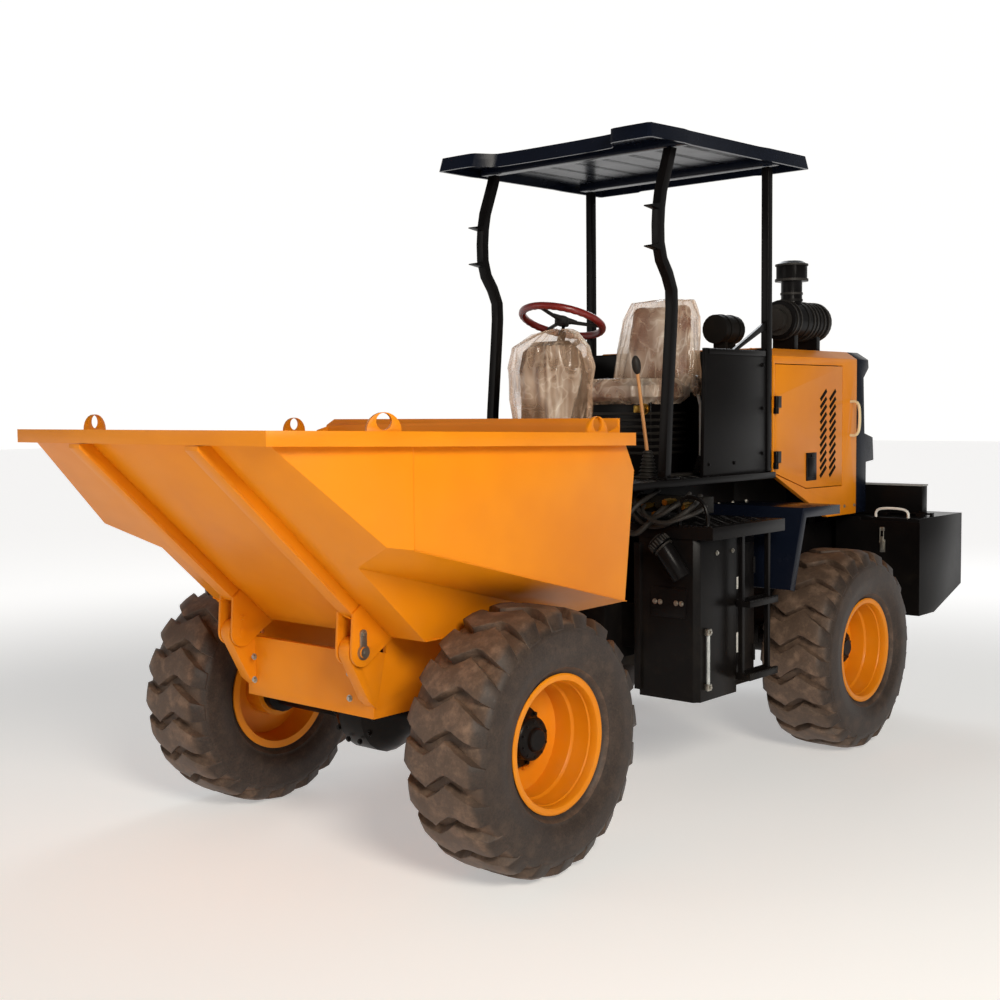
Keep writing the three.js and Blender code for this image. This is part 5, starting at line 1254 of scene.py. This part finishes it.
# Rear cover. A stepped dark cover over the radiator, with a slatted grille in its
# lower step and a chamfered top.
eased("rear_grille", navy, 0.005, 3)
slats = bmesh.new()
for i in range(11):
    z = 1.255 + i * 0.021
    slab(slats, (-0.47, 2.096, z), (0.47, 2.104, z + 0.011), 0.002)
for i in range(13):
    z = 1.715 + i * 0.022
    y = 2.078 - (z - 1.684) * 0.052
    slab(slats, (-0.47, y - 0.006, z), (0.47, y + 0.006, z + 0.012), 0.002)
made("grille_slats", slats, black, "rear_chassis")

# ---------------------------------------------------------------------------
# Air cleaner and muffler on top of the housing. A ribbed plastic drum held by two
# straps, with a pre-cleaner bowl on a neck; the muffler has a strap and a tail.
eased("air_cleaner", black, 0.004, 3)
eased("exhaust_muffler", cast, 0.004, 3)
AIR_X, AIR_Z, NECK_Y = 0.400, 2.337, 1.5475


def band(bm, x, y, z, radius, width, thick=0.003, axis="Y"):
    """A flat strap round a drum."""
    inner, outer, half = radius - 0.002, radius + thick, width / 2
    outline = [(inner, -half), (outer, -half), (outer, half), (inner, half)]
    if axis == "Y":
        spun(bm, [(x + r, y + w, z) for r, w in outline], (0, 1, 0), 48, centre=(x, y, z))
    else:
        spun(bm, [(x + r, y, z + w) for r, w in outline], (0, 0, 1), 48, centre=(x, y, z))


drum = bmesh.new()
for y in (1.425, 1.47, 1.62, 1.66, 1.745):
    band(drum, AIR_X, y, AIR_Z, 0.110, 0.012, 0.0045)
band(drum, AIR_X, 1.795, AIR_Z, 0.110, 0.022, 0.006)
rod(drum, (AIR_X, 1.352, AIR_Z), (AIR_X, 1.400, AIR_Z), 0.062, 32)
rod(drum, (AIR_X, 1.385, AIR_Z), (AIR_X, 1.3985, AIR_Z), 0.088, 32)
for z in (0.045, 0.155):
    band(drum, AIR_X, NECK_Y, AIR_Z + z, 0.060, 0.012, 0.004, "Z")
band(drum, AIR_X, NECK_Y, AIR_Z + 0.232, 0.0905, 0.014, 0.004, "Z")
band(drum, AIR_X, NECK_Y, AIR_Z + 0.318, 0.0895, 0.010, 0.004, "Z")
made("air_cleaner_ribs", drum, hose_rubber, "rear_chassis")
clips = bmesh.new()
for y in (1.56, 1.70):
    band(clips, AIR_X, y, AIR_Z, 0.1105, 0.016, 0.0025)
band(clips, AIR_X, NECK_Y, AIR_Z + 0.118, 0.0605, 0.012, 0.003, "Z")
band(clips, 0.250, 1.022, 2.277, 0.0805, 0.018, 0.003)
band(clips, 0.250, 1.112, 2.277, 0.0805, 0.018, 0.003)
made("drum_straps", clips, cast, "rear_chassis")

# ---------------------------------------------------------------------------
# Rear boxes. Black tool boxes beside the counterweight, each with a lid on two hinges,
# a white grab handle, and a zinc toggle latch hooked over a bracket on the front.
for side in ("left", "right"):
    eased(side + "_tool_box", black, 0.003)
    lid = eased(side + "_box_lid", black, 0.003)
    recolour(lid, white, lambda c: c.z > 1.1905 and c.y < 2.06)
box_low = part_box("left_tool_box")[0]
toggle = bmesh.new()
front = box_low.y
slab(toggle, (0.735, front - 0.006, 0.985), (0.769, front + 0.001, 1.060), 0.003)
slab(toggle, (0.742, front - 0.018, 1.000), (0.762, front - 0.005, 1.078), 0.004)
rod(toggle, (0.737, front - 0.012, 1.046), (0.767, front - 0.012, 1.046), 0.005, 10)
slab(toggle, (0.738, front - 0.012, 1.112), (0.766, front + 0.001, 1.134), 0.003)
for x in (0.741, 0.763):
    rod(toggle, (x, front - 0.015, 1.050), (x, front - 0.012, 1.130), 0.0026, 8)
both_sides("toggle_latch", toggle, zinc, "rear_chassis")

# Tail board. A raised black board behind the lids, with a pale strip along its top.
eased("tail_board", black, 0.003)
tail_low, tail_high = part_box("tail_board")
strip = bmesh.new()
slab(
    strip, (tail_low.x - 0.004, tail_low.y - 0.006, tail_high.z - 0.004),
    (tail_high.x + 0.004, tail_high.y + 0.004, tail_high.z + 0.006), 0.002,
)
grey = painted("pale_strip", colour(150, 150, 148), colour(120, 120, 120), 0.4, 0.2)
made("tail_board_strip", strip, grey, "rear_chassis")

# ---------------------------------------------------------------------------
# Floor. A pale studio floor, which isn't part of the machine. It glows by itself with painted brightness,
# dimmer near the machine and stronger far off.
floor_mesh = bpy.data.meshes.new("floor")
floor_bm = bmesh.new()
bmesh.ops.create_grid(floor_bm, x_segments=1, y_segments=1, size=60)
floor_bm.to_mesh(floor_mesh)
floor_bm.free()
pale = Finish("studio_floor", Specular_IOR_Level=0.1, Emission_Strength=1.0)
pale_cloud = pale.grain(0.6, 3.0)
# Distance from the origin, which sets the floor's painted glow: dim within 3.5 m, full beyond 9 m.
glow_reach = pale.node("VectorMath", {"operation": "LENGTH"}, output="Value", s0=pale.place)
pale.feed(
    Base_Color=pale.mixed(pale_cloud, (0.80, 0.795, 0.785, 1), (0.83, 0.825, 0.815, 1)),
    Roughness=0.85 + pale_cloud * 0.1,
    Emission_Color=pale.mixed(
        glow_reach.between(3.5, 9.0), (0.36, 0.358, 0.355, 1), (0.75, 0.745, 0.74, 1),
    ),
)
floor_mesh.materials.append(pale.material)
floor = bpy.data.objects.new("floor", floor_mesh)
bpy.context.scene.collection.objects.link(floor)
